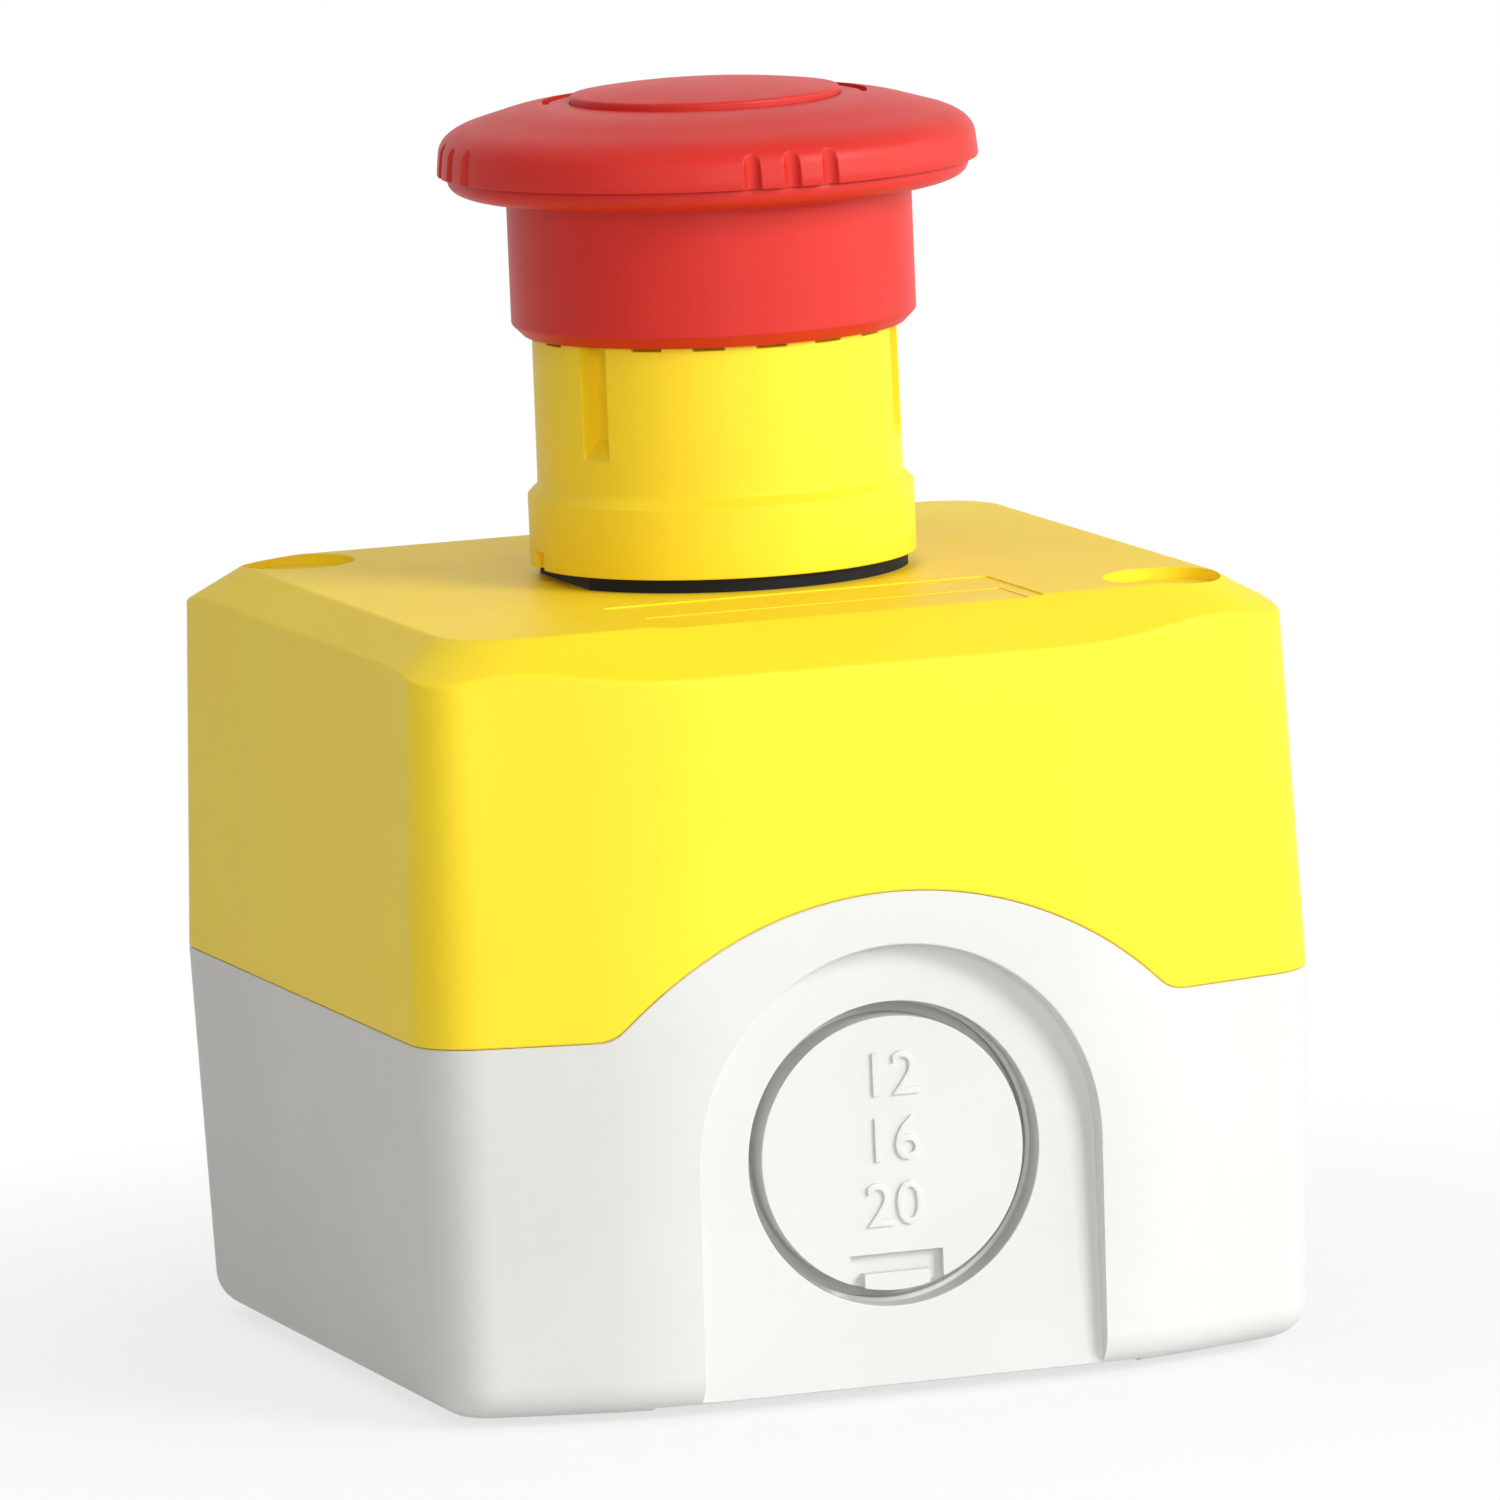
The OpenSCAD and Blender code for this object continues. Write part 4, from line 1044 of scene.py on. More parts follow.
# %% [markdown]
# ## The button's skirt and dish
#
# The red skirt slides over the collar and spreads into a dish: level where it
# leaves the skirt, then curled up to the parting line. A quadratic curve with
# its control point far out gives that full belly with no kink. One closed
# section holds skirt, dish, inner web and the seat for the shell, so it is
# turned in one go, as the real tool is.

# %% Skirt and dish
PARTING = 85.0
SKIRT_R = 14.68
SKIRT_BORE = 13.62
SKIRT_FOOT = 73.1
DISH_Z = PARTING - 1.82
DISH_FROM = 15.2
DISH_TOP = PARTING - 0.02
HUB_R = 7.5
HUB_BORE = 4.55
HUB_FOOT = 76.0
WEB_UNDER = 81.4
WEB_TOP = 83.4
STEM_SEAT = 82.0
SCREW_HOLE_R = 1.75
SPIGOT_R = 17.4
SPIGOT_BORE = 16.5
SPIGOT_TOP = 86.0

dish = quadratic((DISH_FROM, DISH_Z), (19.45, DISH_Z), (18.78, DISH_TOP), 18)
skirt_points = [(HUB_BORE, HUB_FOOT), (HUB_R, HUB_FOOT), (HUB_R, WEB_UNDER), (SKIRT_BORE, WEB_UNDER),
                (SKIRT_BORE, SKIRT_FOOT), (13.83, SKIRT_FOOT), (SKIRT_R, 73.95), (SKIRT_R, DISH_Z),
                (DISH_FROM, DISH_Z)]
skirt_lower = rounded_section(skirt_points, [0, 0.2, 0.3, 0.3, 0, 0, 0.12, 0.25, 0])
skirt_upper = np.array([(SPIGOT_R, DISH_TOP), (SPIGOT_R, SPIGOT_TOP), (SPIGOT_BORE, SPIGOT_TOP),
                        (SPIGOT_BORE, PARTING), (13.9, WEB_TOP), (SCREW_HOLE_R, WEB_TOP),
                        (SCREW_HOLE_R, STEM_SEAT), (HUB_BORE, STEM_SEAT)])
skirt_section = np.concatenate([skirt_lower[:-1], dish, skirt_upper])
skirt = turned("cap_skirt_skin", skirt_section, np.arange(0, 360, 2.5))
print("skirt and dish:", len(skirt_section), "rows")

# %% [markdown]
# ## The mushroom's crown
#
# The crown has three parts that touch smoothly: a level land under the disc, a
# round bend, and a straight slope down to the shoulder. A scaled sphere would be
# the quick way, but its light fades evenly from the middle, where the real crown
# shows a calm ring and then a slope. As a function of the radius, its height is
# right in every view, and the disc can ask it how deep it sits.

# %% Crown
LAND_R = 10.8
LAND_Z = PARTING + 4.77
CROWN_BEND = 14.5
BEND_WIDTH = 4.2
CROWN_SLOPE = BEND_WIDTH / math.sqrt(CROWN_BEND ** 2 - BEND_WIDTH ** 2)


def crown(r):
    """Height of the crown: a level land, a round bend b - sqrt(b^2 - x^2), then a straight slope."""
    x = np.maximum(np.asarray(r, float) - LAND_R, 0)
    bent = np.minimum(x, BEND_WIDTH)
    drop = CROWN_BEND - np.sqrt(CROWN_BEND ** 2 - bent ** 2)
    return LAND_Z - drop - CROWN_SLOPE * (x - bent)


print("crown slopes by, degrees:", round(math.degrees(math.atan(CROWN_SLOPE)), 1))

# %% [markdown]
# ## The mushroom's shell and its finger grips
#
# The shell closes the dish with an upright rim and a rounded shoulder below the
# crown. Four groups of three finger grips are upright round grooves in the rim.
# Twelve cylinders could cut them, but a boolean leaves long thin faces that show
# in the shine. Here fine columns stand at each grip, and the rim is pushed back
# to the groove. Each groove ends by itself where the shoulder curves in behind
# it, so no end cap has to be modelled.

# %% Shell with finger grips
CAP_R = 19.6
GRIP_R = 0.64
GRIP_DEPTH = 0.58
GRIP_STEP = 8.65
GRIP_TURN = -0.75
GRIPS = near(np.arange(4) * 90.0 + GRIP_TURN, [-GRIP_STEP, 0.0, GRIP_STEP])
SHOULDER_R = 17.4
DISC_SEAT = 89.0
SEAT_BORE = 9.8


def push_shell(a, r, z):
    """Finger grips: the rim is cut back to an upright round groove of radius GRIP_R.

    At angle t from a grip's middle the groove lies at c cos t - sqrt(GRIP_R^2 - (c sin t)^2),
    with c the distance of its axis.
    """
    off = np.min(np.abs(wrap(front_angle(a)[..., None] - GRIPS)), -1)
    centre = CAP_R + GRIP_R - GRIP_DEPTH
    s = centre * np.sin(np.radians(off))
    groove = centre * np.cos(np.radians(off)) - np.sqrt(np.maximum(GRIP_R ** 2 - s ** 2, 0))
    return np.where(s < GRIP_R, np.minimum(r, groove), r), z


rim_rows = [(CAP_R - 0.1, PARTING - 0.1), (CAP_R - 0.03, PARTING - 0.07), (CAP_R, PARTING),
            (CAP_R - 0.05, 85.6), (CAP_R - 0.1, 86.1)]
shoulder_curve = quadratic((19.45, 86.5), (19.34, 87.76), (SHOULDER_R, crown(SHOULDER_R)), 28)
crown_r = np.concatenate([np.arange(16.8, 12.9, -0.5), np.arange(12.6, 9.9, -0.3), [9.88]])
crown_curve = np.stack([crown_r, crown(crown_r)], -1)
shell_inside = [(SEAT_BORE, LAND_Z - 0.06), (SEAT_BORE, DISC_SEAT), (0.3, DISC_SEAT), (0.3, 88.3),
                (9.0, 88.3), (15.5, 87.0), (17.5, 86.2), (17.5, PARTING), (18.9, PARTING),
                (18.95, PARTING - 0.1)]
shell_rows = np.concatenate([rim_rows, shoulder_curve, crown_curve, shell_inside])
SHELL_COLUMNS = filled(near(GRIPS, np.linspace(-2.2, 2.2, 25)) - 90, 1.5)
shell = turned("cap_shell_skin", shell_rows, SHELL_COLUMNS, push=push_shell)
print("shell columns:", len(SHELL_COLUMNS), "grips:", len(GRIPS))

# %% [markdown]
# ## Arc slots in the crown
#
# Two slots curve round the centre disc and thin out towards their ends. They lie
# across the rows and columns of the skin, so pushing points would blur them, and
# a boolean with a prism of the slot's own outline keeps them crisp.

# %% Arc slots
ARCS = ((-168.0, -106.5), (70.5, 130.0))
ARC_R = 11.5
ARC_TIP = 0.22
ARC_WIDE = 0.75
ARC_TAPER = 24.0
ARC_DEPTH = 0.75


def arc_slot(start, end):
    """Cutter for one arc slot round the disc, between two angles from the front.

    Its half width is ARC_TIP at the rounded ends and grows to ARC_WIDE over ARC_TAPER degrees.
    """
    t = np.linspace(start, end, 61)
    half = ARC_TIP + (ARC_WIDE - ARC_TIP) * smooth(np.minimum(t - start, end - t) / ARC_TAPER)
    round_end = np.linspace(0, np.pi, 9)[1:-1]
    tip = np.degrees(ARC_TIP * np.sin(round_end) / ARC_R)
    r = np.concatenate([ARC_R + half, ARC_R + ARC_TIP * np.cos(round_end),
                        ARC_R - half[::-1], ARC_R - ARC_TIP * np.cos(round_end)])
    a = np.radians(np.concatenate([t, end + tip, t[::-1], start - tip]) - 90)
    loops = [np.column_stack([r * np.cos(a), r * np.sin(a), np.full(len(r), z)])
             for z in (LAND_Z - ARC_DEPTH, LAND_Z + 1.0)]
    return skin("arc_slot", loops)


for start, end in ARCS:
    shell = carve(shell, arc_slot(start, end))
print("shell faces:", len(shell.data.polygons))

# %% [markdown]
# ## The centre disc
#
# The disc is pressed into the shell and stands a little proud. Its top is a very
# flat dome, part of a sphere whose radius follows from the disc's own radius d
# and the rise h: (d^2 + h^2) / 2h. A flat top would look dead in the light.

# %% Centre disc
DISC_R = 9.75
DISC_TOP = 91.03
DOME_RISE = 0.74
dome_radius = (DISC_R ** 2 + DOME_RISE ** 2) / (2 * DOME_RISE)
dome_r = np.linspace(DISC_R - 0.24, 0.3, 22)
dome_z = DISC_TOP - dome_radius + np.sqrt(dome_radius ** 2 - dome_r ** 2)
disc_edge = quadratic((DISC_R, dome_z[0] - 0.26), (DISC_R, dome_z[0] - 0.02), (dome_r[0], dome_z[0]), 5)
disc_foot = np.array([(9.2, DISC_SEAT), (DISC_R, DISC_SEAT)])
dome = np.stack([dome_r, dome_z], -1)
disc = lathe("cap_disc_skin", np.concatenate([disc_foot, disc_edge, dome[1:]]), 144)
print("disc edge stands", round(float(dome_z[0] - crown(DISC_R)), 2), "mm above the crown")

# %% [markdown]
# ## Plain numbers on the knock-out
#
# The disc says in raised numbers which sizes of cable entry suit the box. A bump
# map would do from afar, but not in a grazing light. Blender's text is made a
# mesh before it is placed, with a hair of bevel, so that its edges catch the
# light as moulded ones do. All three lines are one piece, sunk to half their
# thickness into the disc.

# %% Numbers
NUMBER_SIZE = 4.5
NUMBER_OUT = 0.46
NUMBER_BEVEL = 0.02
NUMBER_LINES = (("12", 5.56), ("16", 0.86), ("20", -3.8))


def raised_number(text, z):
    """Number as a closed mesh, half sunk into the plane of the knock-out disc, in mm."""
    curve = bpy.data.curves.new("number", "FONT")
    curve.body = text
    curve.size = NUMBER_SIZE
    curve.align_x = "CENTER"
    curve.align_y = "CENTER"
    curve.extrude = NUMBER_OUT / 2
    curve.bevel_depth = NUMBER_BEVEL
    curve.bevel_resolution = 1
    curve.resolution_u = 3
    obj = bpy.data.objects.new("number", curve)
    bpy.context.scene.collection.objects.link(obj)
    graph = bpy.context.evaluated_depsgraph_get()
    mesh = bpy.data.meshes.new_from_object(obj.evaluated_get(graph))
    bpy.data.objects.remove(obj)
    bpy.data.curves.remove(curve)
    mesh.transform(Matrix.Rotation(math.radians(90), 4, "X"))
    mesh.transform(Matrix.Translation((0.0, KNOCK_SET - RECESS_Y, z)))
    made = bpy.data.objects.new("number", mesh)
    bpy.context.scene.collection.objects.link(made)
    return tidy(made, 1e-5)


lines = [raised_number(text, KNOCK_Z + up) for text, up in NUMBER_LINES]
numbers = join(lines[0], lines[1:])
numbers.name = "knock_out_numbers"
print("numbers:", len(numbers.data.polygons), "faces")

# %% [markdown]
# ## Handing the pieces over
#
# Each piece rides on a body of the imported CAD, takes a material slot, and stands
# in for the CAD node that it dresses. Smooth shading with weighted normals lets
# the large flat faces keep their own direction, so the small roundings beside
# them carry all of the bend; edges sharper than the crease angle stay hard.

# %% Pieces
MM = 0.001
CREASE_BOX = 24.0
CREASE_TURNED = 40.0
FLAT_WEIGHT = 60


def to_frame(obj, crease):
    """Millimetres to metres, smooth shading with hard edges above the crease angle."""
    obj.data.transform(Matrix.Scale(MM, 4))
    obj.data.shade_smooth()
    obj.data.set_sharp_from_angle(angle=math.radians(crease))
    mod = obj.modifiers.new("weighted", "WEIGHTED_NORMAL")
    mod.keep_sharp = True
    mod.weight = FLAT_WEIGHT


pieces = [
    (lid, "enclosure", "yellow_plastic", "enclosure_lid", CREASE_BOX),
    (base, "enclosure", "grey_plastic", "enclosure_base", CREASE_BOX),
    (collar, "enclosure", "yellow_plastic", "head_collar", CREASE_TURNED),
    (skirt, "button", "red_plastic", "cap_skirt", CREASE_TURNED),
    (shell, "button", "red_plastic", "cap_shell", CREASE_TURNED),
    (disc, "button", "red_plastic", "cap_disc", CREASE_TURNED),
    (numbers, "enclosure", "grey_plastic", None, CREASE_TURNED),
    (well_caps, "enclosure", "yellow_plastic", None, CREASE_TURNED),
]
for obj, body, slot, node, crease in pieces:
    to_frame(obj, crease)
    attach(obj, body)
    if node:
        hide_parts(node)
    print(obj.name, len(obj.data.polygons), "faces")

# %% [markdown]
# ## Materials
#
# All finishes are procedural and hang on object coordinates, so they sit still
# on the piece. An image texture would need unwrapped mouldings and would blur
# close up; noise keeps its grain at any distance. Colours are written as hex
# codes, as a colour picker shows them, and turned into the linear light that
# shaders reckon in.

# %% Colours
def rgb(hex_text):
    """Linear RGBA from an sRGB hex code.

    A channel c of at most 0.04045 becomes c / 12.92, any other ((c + 0.055) / 1.055)^2.4.
    """
    c = np.array([int(hex_text[i:i + 2], 16) for i in (0, 2, 4)]) / 255
    linear = np.where(c <= 0.04045, c / 12.92, ((c + 0.055) / 1.055) ** 2.4)
    return (*linear.tolist(), 1.0)


print("mid grey 808080 in linear light:", round(rgb("808080")[0], 3))

# %% [markdown]
# ### Recipes for node trees
#
# A finish can be wired by hand in the Shader Editor, but eleven of them are
# easier to read as recipes: some noise, a ramp that makes a share of it, a mix
# of two colours, a chain of bumps. A small class holds these steps. The Mix node
# has several sockets of one name, so its colour sockets are picked by number.

# %% Node helpers
MIX_FACTOR = 0
MIX_A = 6
MIX_B = 7
MIX_COLOUR = 2


class Graph:
    """Small helper around a material's node tree."""

    def __init__(self, name):
        self.mat = bpy.data.materials.new(name)
        self.mat.use_nodes = True
        self.tree = self.mat.node_tree
        self.tree.nodes.clear()
        self.out = self.add("ShaderNodeOutputMaterial")
        self.bsdf = self.add("ShaderNodeBsdfPrincipled")
        self.link(self.bsdf, "BSDF", self.out, "Surface")
        self.coord = self.add("ShaderNodeTexCoord")

    def add(self, kind, **values):
        """Node of a kind; each value is a property of the node or one of its sockets."""
        node = self.tree.nodes.new(kind)
        for key, value in values.items():
            if hasattr(node, key):
                setattr(node, key, value)
            else:
                node.inputs[key].default_value = value
        return node

    def link(self, a, out, b, into):
        """Joins output out of node a to input into of node b."""
        self.tree.links.new(a.outputs[out], b.inputs[into])

    def set(self, **values):
        """Sets plain values on the surface shader's own sockets; _ in a name stands for a space."""
        for key, value in values.items():
            self.bsdf.inputs[key.replace("_", " ")].default_value = value

    def noise(self, scale, detail=3.0, rough=0.5, stretch=(1, 1, 1)):
        """Noise over object coordinates, in cycles per metre."""
        mapping = self.add("ShaderNodeMapping", Scale=stretch)
        tex = self.add("ShaderNodeTexNoise", Scale=scale, Detail=detail, Roughness=rough)
        self.link(self.coord, "Object", mapping, "Vector")
        self.link(mapping, "Vector", tex, "Vector")
        return tex

    def ramp(self, source, out, low, high, to_low, to_high):
        """Source value mapped from low..high onto to_low..to_high."""
        node = self.add("ShaderNodeMapRange")
        node.inputs["From Min"].default_value = low
        node.inputs["From Max"].default_value = high
        node.inputs["To Min"].default_value = to_low
        node.inputs["To Max"].default_value = to_high
        self.link(source, out, node, "Value")
        return node

    def mix(self, fac, a, b):
        """Colour a where the ramp fac gives 0, b where it gives 1; a may be the node of another mix."""
        node = self.add("ShaderNodeMix", data_type="RGBA")
        node.inputs[MIX_B].default_value = b
        if isinstance(a, bpy.types.Node):
            self.link(a, MIX_COLOUR, node, MIX_A)
        else:
            node.inputs[MIX_A].default_value = a
        self.link(fac, "Result", node, MIX_FACTOR)
        return node

    def bump(self, layers):
        """Chain of bumps from (noise node, strength, distance in m)."""
        previous = None
        for node, strength, distance in layers:
            b = self.add("ShaderNodeBump", Strength=strength, Distance=distance)
            self.link(node, "Fac", b, "Height")
            if previous is not None:
                self.link(previous, "Normal", b, "Normal")
            previous = b
        self.link(previous, "Normal", self.bsdf, "Normal")


# %% [markdown]
# ### Moulded plastic
#
# A spark-eroded mould leaves a fine, even grain, and no two spots of a moulding
# have quite the same colour or gloss. Three scales of noise say that: a faint
# cloud in colour, fine grain in the bump, thin wiping marks in the roughness.
# The hidden mouldings also catch a little dust on their edges, through the
# pointiness of the surface; the outside is new and clean.

# %% Plastic
DUST = rgb("EDEAE2")
CLOUD_SCALE = 55.0
WIPE_SCALE = 240.0
GRAIN_SCALE = 5200.0
WAVE_SCALE = 110.0


def moulded(name, colour, deep, rough, grain=0.25, dust=0.10):
    """Injection-moulded plastic of a colour, with deep as its darker cloud."""
    g = Graph(name)
    cloud = g.noise(CLOUD_SCALE)
    tone = g.mix(g.ramp(cloud, "Fac", 0.3, 0.7, 0.0, 1.0), rgb(colour), rgb(deep))
    if dust > 0:
        geometry = g.add("ShaderNodeNewGeometry")
        tone = g.mix(g.ramp(geometry, "Pointiness", 0.50, 0.56, 0.0, dust), tone, DUST)
    g.link(tone, MIX_COLOUR, g.bsdf, "Base Color")
    wipe = g.noise(WIPE_SCALE, 4.0, 0.6, (1.0, 1.0, 0.12))
    g.link(g.ramp(wipe, "Fac", 0.3, 0.7, rough - 0.02, rough + 0.03), "Result", g.bsdf, "Roughness")
    g.bump([(g.noise(GRAIN_SCALE, 2.0, 0.6), grain, 0.00003), (g.noise(WAVE_SCALE, 1.0), 0.05, 0.0001)])
    g.set(IOR=1.5, Specular_IOR_Level=0.32)
    return g.mat


# %% [markdown]
# ### Rubber and metal
#
# Rubber is nearly black, with a grey bloom where it has aged, and hardly shines.
# Plated and drawn metal shows its working: streaks along one direction in the
# roughness and the bump, which a stretched noise gives, and duller patches.

# %% Rubber and metal
BLOOM_SCALE = 180.0
SKIN_SCALE = 2600.0
PATCH_SCALE = 260.0
STREAK_SCALE = 900.0


def rubber(name, colour, bloom_colour):
    """Matt elastomer with bloom in its colour and a grained surface."""
    g = Graph(name)
    bloom = g.noise(BLOOM_SCALE, 4.0)
    tone = g.mix(g.ramp(bloom, "Fac", 0.35, 0.75, 0.0, 1.0), rgb(colour), rgb(bloom_colour))
    g.link(tone, MIX_COLOUR, g.bsdf, "Base Color")
    g.link(g.ramp(bloom, "Fac", 0.3, 0.7, 0.55, 0.72), "Result", g.bsdf, "Roughness")
    g.set(Specular_IOR_Level=0.2)
    g.bump([(g.noise(SKIN_SCALE, 2.0), 0.25, 0.00004)])
    return g.mat


def metal(name, colour, worn, rough, stretch):
    """Plated or drawn metal: brushed bump, roughness in streaks, dull patches."""
    g = Graph(name)
    patch = g.noise(PATCH_SCALE, 4.0)
    tone = g.mix(g.ramp(patch, "Fac", 0.4, 0.75, 0.0, 1.0), rgb(colour), rgb(worn))
    g.link(tone, MIX_COLOUR, g.bsdf, "Base Color")
    g.set(Metallic=1.0)
    streak = g.noise(STREAK_SCALE, 3.0, 0.6, stretch)
    g.link(g.ramp(streak, "Fac", 0.3, 0.7, rough - 0.07, rough + 0.10), "Result", g.bsdf, "Roughness")
    g.bump([(streak, 0.15, 0.00003)])
    return g.mat


# %% [markdown]
# ### One finish for each slot
#
# The record names a material slot for every node. The CAD nodes that stay in the
# scene (gasket, springs, screws, contact parts) take theirs from the same table
# as the dressed pieces, so a section through the model is finished too.

# %% Finishes
finishes = {
    "grey_plastic": moulded("grey_plastic", "DCDDDB", "D7D8D5", 0.46, grain=0.25, dust=0.0),
    "yellow_plastic": moulded("yellow_plastic", "FFE32A", "FDDD25", 0.48, grain=0.22, dust=0.0),
    "red_plastic": moulded("red_plastic", "D22B21", "CB271D", 0.46, grain=0.14, dust=0.0),
    "green_plastic": moulded("green_plastic", "3B8A52", "337A49", 0.42),
    "natural_plastic": moulded("natural_plastic", "E6E1D2", "DCD6C4", 0.38),
    "dark_plastic": moulded("dark_plastic", "33353A", "2B2D31", 0.48),
    "black_plastic": moulded("black_plastic", "1D1E21", "17181A", 0.42),
    "black_rubber": rubber("black_rubber", "0B0E13", "12161C"),
    "zinc_steel": metal("zinc_steel", "C9CBCE", "9FA1A3", 0.30, (1.0, 1.0, 0.2)),
    "spring_steel": metal("spring_steel", "A9ABAE", "7B7D80", 0.26, (0.3, 0.3, 1.0)),
    "brass": metal("brass", "D4B065", "A5843F", 0.30, (1.0, 0.2, 1.0)),
}


def finish(obj, slot):
    """Gives an object the finish of its slot, and nothing else."""
    obj.data.materials.clear()
    obj.data.materials.append(finishes[slot])


slot_of = {part["node"]: part["material_slot"] for part in frame["record"]["subparts"]}
for node, obj in frame["nodes"].items():
    finish(obj, slot_of[node])
for obj, body, slot, node, crease in pieces:
    finish(obj, slot)
print("finishes:", len(finishes), "nodes:", len(frame["nodes"]))

# %% [markdown]
# ## The floor
#
# A product shot on white needs a floor that is part of the background, yet keeps
# the object's shadow. Brighter lamps would burn out the object, so the white
# comes from the floor's own material: where the camera or a mirror ray looks, it
# is mixed with a white glow, fully so from 105 mm outward and less near the
# object, which leaves just the soft shadow beside its foot.

# %% Floor
FLOOR_HALF = 3.0
FLOOR_Z = -0.0006
GLOW_NEAR = 0.72
SHADE_END = 0.04
WHITE_FROM = 0.105


def seen(tree):
    """Node that gives 1 on rays from the camera, a mirror or glass, and 0 on all others."""
    path = tree.nodes.new("ShaderNodeLightPath")
    found = path.outputs["Is Camera Ray"]
    for kind in ("Is Glossy Ray", "Is Transmission Ray"):
        either = tree.nodes.new("ShaderNodeMath")
        either.operation = "MAXIMUM"
        tree.links.new(found, either.inputs[0])
        tree.links.new(path.outputs[kind], either.inputs[1])
        found = either.outputs["Value"]
    return either


signs = ((-1, -1), (1, -1), (1, 1), (-1, 1))
floor_corners = [(x * FLOOR_HALF, y * FLOOR_HALF, FLOOR_Z) for x, y in signs]
floor = new_object("floor", floor_corners, [(0, 1, 2, 3)])
ground = Graph("floor_paper")
ground.set(Base_Color=(0.85, 0.85, 0.85, 1), Roughness=0.9)
glow = ground.add("ShaderNodeEmission", Color=(1, 1, 1, 1))
distance = ground.add("ShaderNodeVectorMath", operation="LENGTH")
ground.link(ground.coord, "Object", distance, "Vector")
fade = ground.ramp(distance, "Value", SHADE_END, WHITE_FROM, GLOW_NEAR, 1.0)
share = ground.add("ShaderNodeMath", operation="MULTIPLY")
ground.link(seen(ground.tree), "Value", share, 0)
ground.link(fade, "Result", share, 1)
blend = ground.add("ShaderNodeMixShader")
ground.link(share, "Value", blend, 0)
ground.link(ground.bsdf, "BSDF", blend, 1)
ground.link(glow, "Emission", blend, 2)
ground.link(blend, "Shader", ground.out, "Surface")
floor.data.materials.append(ground.mat)
print("floor, m:", 2 * FLOOR_HALF)

# %% [markdown]
# ## The lamps
#
# Five soft lamps do it: the key from the front right, a low one from the front
# that reaches into the screw wells, a side lamp that keeps the right flank pale,
# a warmer and weaker fill from the left, and one above for the roof. The lamp
# above is hidden from mirror rays, or it would draw a bright line along the
# button's shoulder that the photo hasn't. Small lamps or a sun would be simpler,
# but their hard shadows would cut across the roof.

# %% Lamps
AIM = (0, 0, 0.045)
WARM = (1.0, 0.87, 0.74)


def lamp(name, place, size, watts, colour=(1, 1, 1), aim=AIM):
    """Soft area lamp at place (m), size (m) wide and high, that looks at aim."""
    data = bpy.data.lights.new(name, "AREA")
    data.shape = "RECTANGLE"
    data.size, data.size_y = size
    data.energy = watts
    data.color = colour
    obj = bpy.data.objects.new(name, data)
    obj.location = place
    obj.rotation_euler = (Vector(aim) - Vector(place)).to_track_quat("-Z", "Y").to_euler()
    bpy.context.scene.collection.objects.link(obj)
    return obj


lamps = {
    "key": lamp("key", (0.50, -0.69, 0.42), (0.40, 0.40), 6.4),
    "front": lamp("front", (-0.12, -0.86, 0.25), (0.18, 0.18), 1.3),
    "side": lamp("side", (0.80, -0.21, 0.22), (0.5, 0.5), 1.9),
    "fill": lamp("fill", (-0.60, -0.62, 0.36), (0.6, 0.5), 0.87, WARM),
    "top": lamp("top", (-0.25, 0.1, 0.87), (0.7, 0.7), 2.1, aim=(0, 0, 0.05)),
}
lamps["top"].visible_glossy = False
print("lamps, W:", {name: round(obj.data.energy, 2) for name, obj in lamps.items()})

# %% [markdown]
# ## The world
#
# The world fills the shaded sides weakly, yet has to be white where it is seen
# behind the object. A single Background node can't be both, so two are mixed by
# the same test of the ray as in the floor. A picture of a real studio would
# tint the grey plastic.

# %% World
WORLD_LIGHT = 0.15

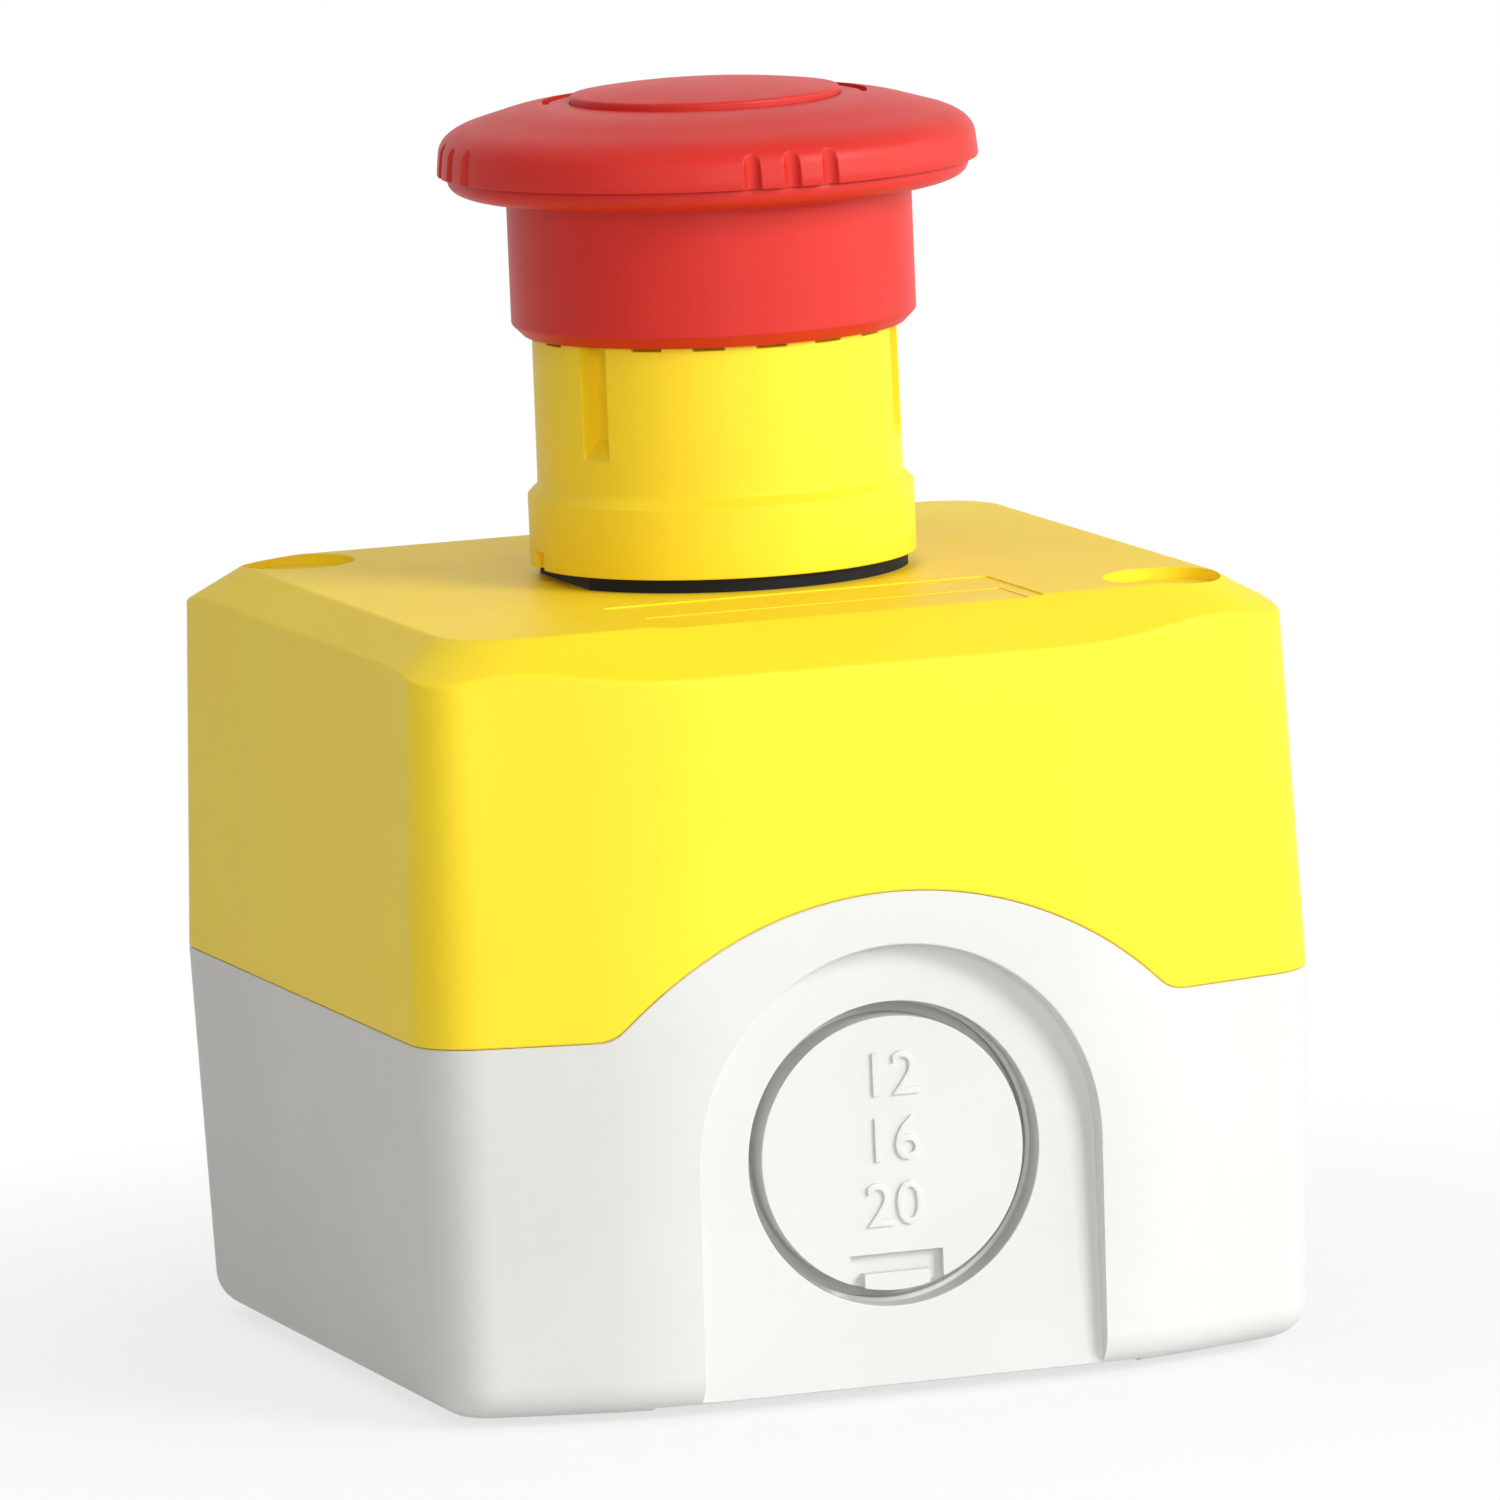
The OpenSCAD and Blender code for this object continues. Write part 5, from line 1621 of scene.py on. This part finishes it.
world = bpy.data.worlds.new("studio")
bpy.context.scene.world = world
world.use_nodes = True
sky = world.node_tree
sky.nodes.clear()
sky_out = sky.nodes.new("ShaderNodeOutputWorld")
sky_mix = sky.nodes.new("ShaderNodeMixShader")
sky.links.new(seen(sky).outputs["Value"], sky_mix.inputs["Fac"])
for place, strength in ((1, WORLD_LIGHT), (2, 1.0)):
    light = sky.nodes.new("ShaderNodeBackground")
    light.inputs["Color"].default_value = (1, 1, 1, 1)
    light.inputs["Strength"].default_value = strength
    sky.links.new(light.outputs["Background"], sky_mix.inputs[place])
sky.links.new(sky_mix.outputs["Shader"], sky_out.inputs["Surface"])
print("world lights with a strength of", WORLD_LIGHT)

# %% [markdown]
# ## Camera
#
# The camera was fitted to the photo's own edges: it stands about 19 degrees to
# the left of the front, 8 degrees up and slightly rolled, with a very long lens.
# A Track To constraint could aim it but not roll it, so its frame is worked out
# from azimuth, elevation, roll and distance, plus a small shift of the aim point.

# %% Camera
def fitted_camera(azimuth, elevation, roll, distance, across, lift, aim, focal):
    """Camera object: back = towards the camera, right and up turned by the roll; lengths in metres."""
    a, e, r = (math.radians(v) for v in (azimuth, elevation, roll))
    back = Vector((math.sin(a) * math.cos(e), -math.cos(a) * math.cos(e), math.sin(e)))
    right = (-back).cross(Vector((0, 0, 1))).normalized()
    up = right.cross(-back)
    place = back * distance + right * across + up * lift + Vector((0, 0, aim))
    turned_right = right * math.cos(r) + up * math.sin(r)
    turned_up = up * math.cos(r) - right * math.sin(r)
    data = bpy.data.cameras.new("camera")
    data.sensor_width = 36.0
    data.lens = focal
    data.clip_end = 50.0
    obj = bpy.data.objects.new("camera", data)
    obj.matrix_world = Matrix((
        (turned_right.x, turned_up.x, back.x, place.x),
        (turned_right.y, turned_up.y, back.y, place.y),
        (turned_right.z, turned_up.z, back.z, place.z),
        (0, 0, 0, 1)))
    bpy.context.scene.collection.objects.link(obj)
    bpy.context.scene.camera = obj
    return obj


camera = fitted_camera(azimuth=-18.864, elevation=8.119, roll=-2.359, distance=1.11773,
                       across=0.00133, lift=-0.002973, aim=0.045, focal=369.1)
bpy.context.scene.view_settings.view_transform = "Standard"
print("camera stands at, m:", [round(v, 3) for v in camera.matrix_world.translation])
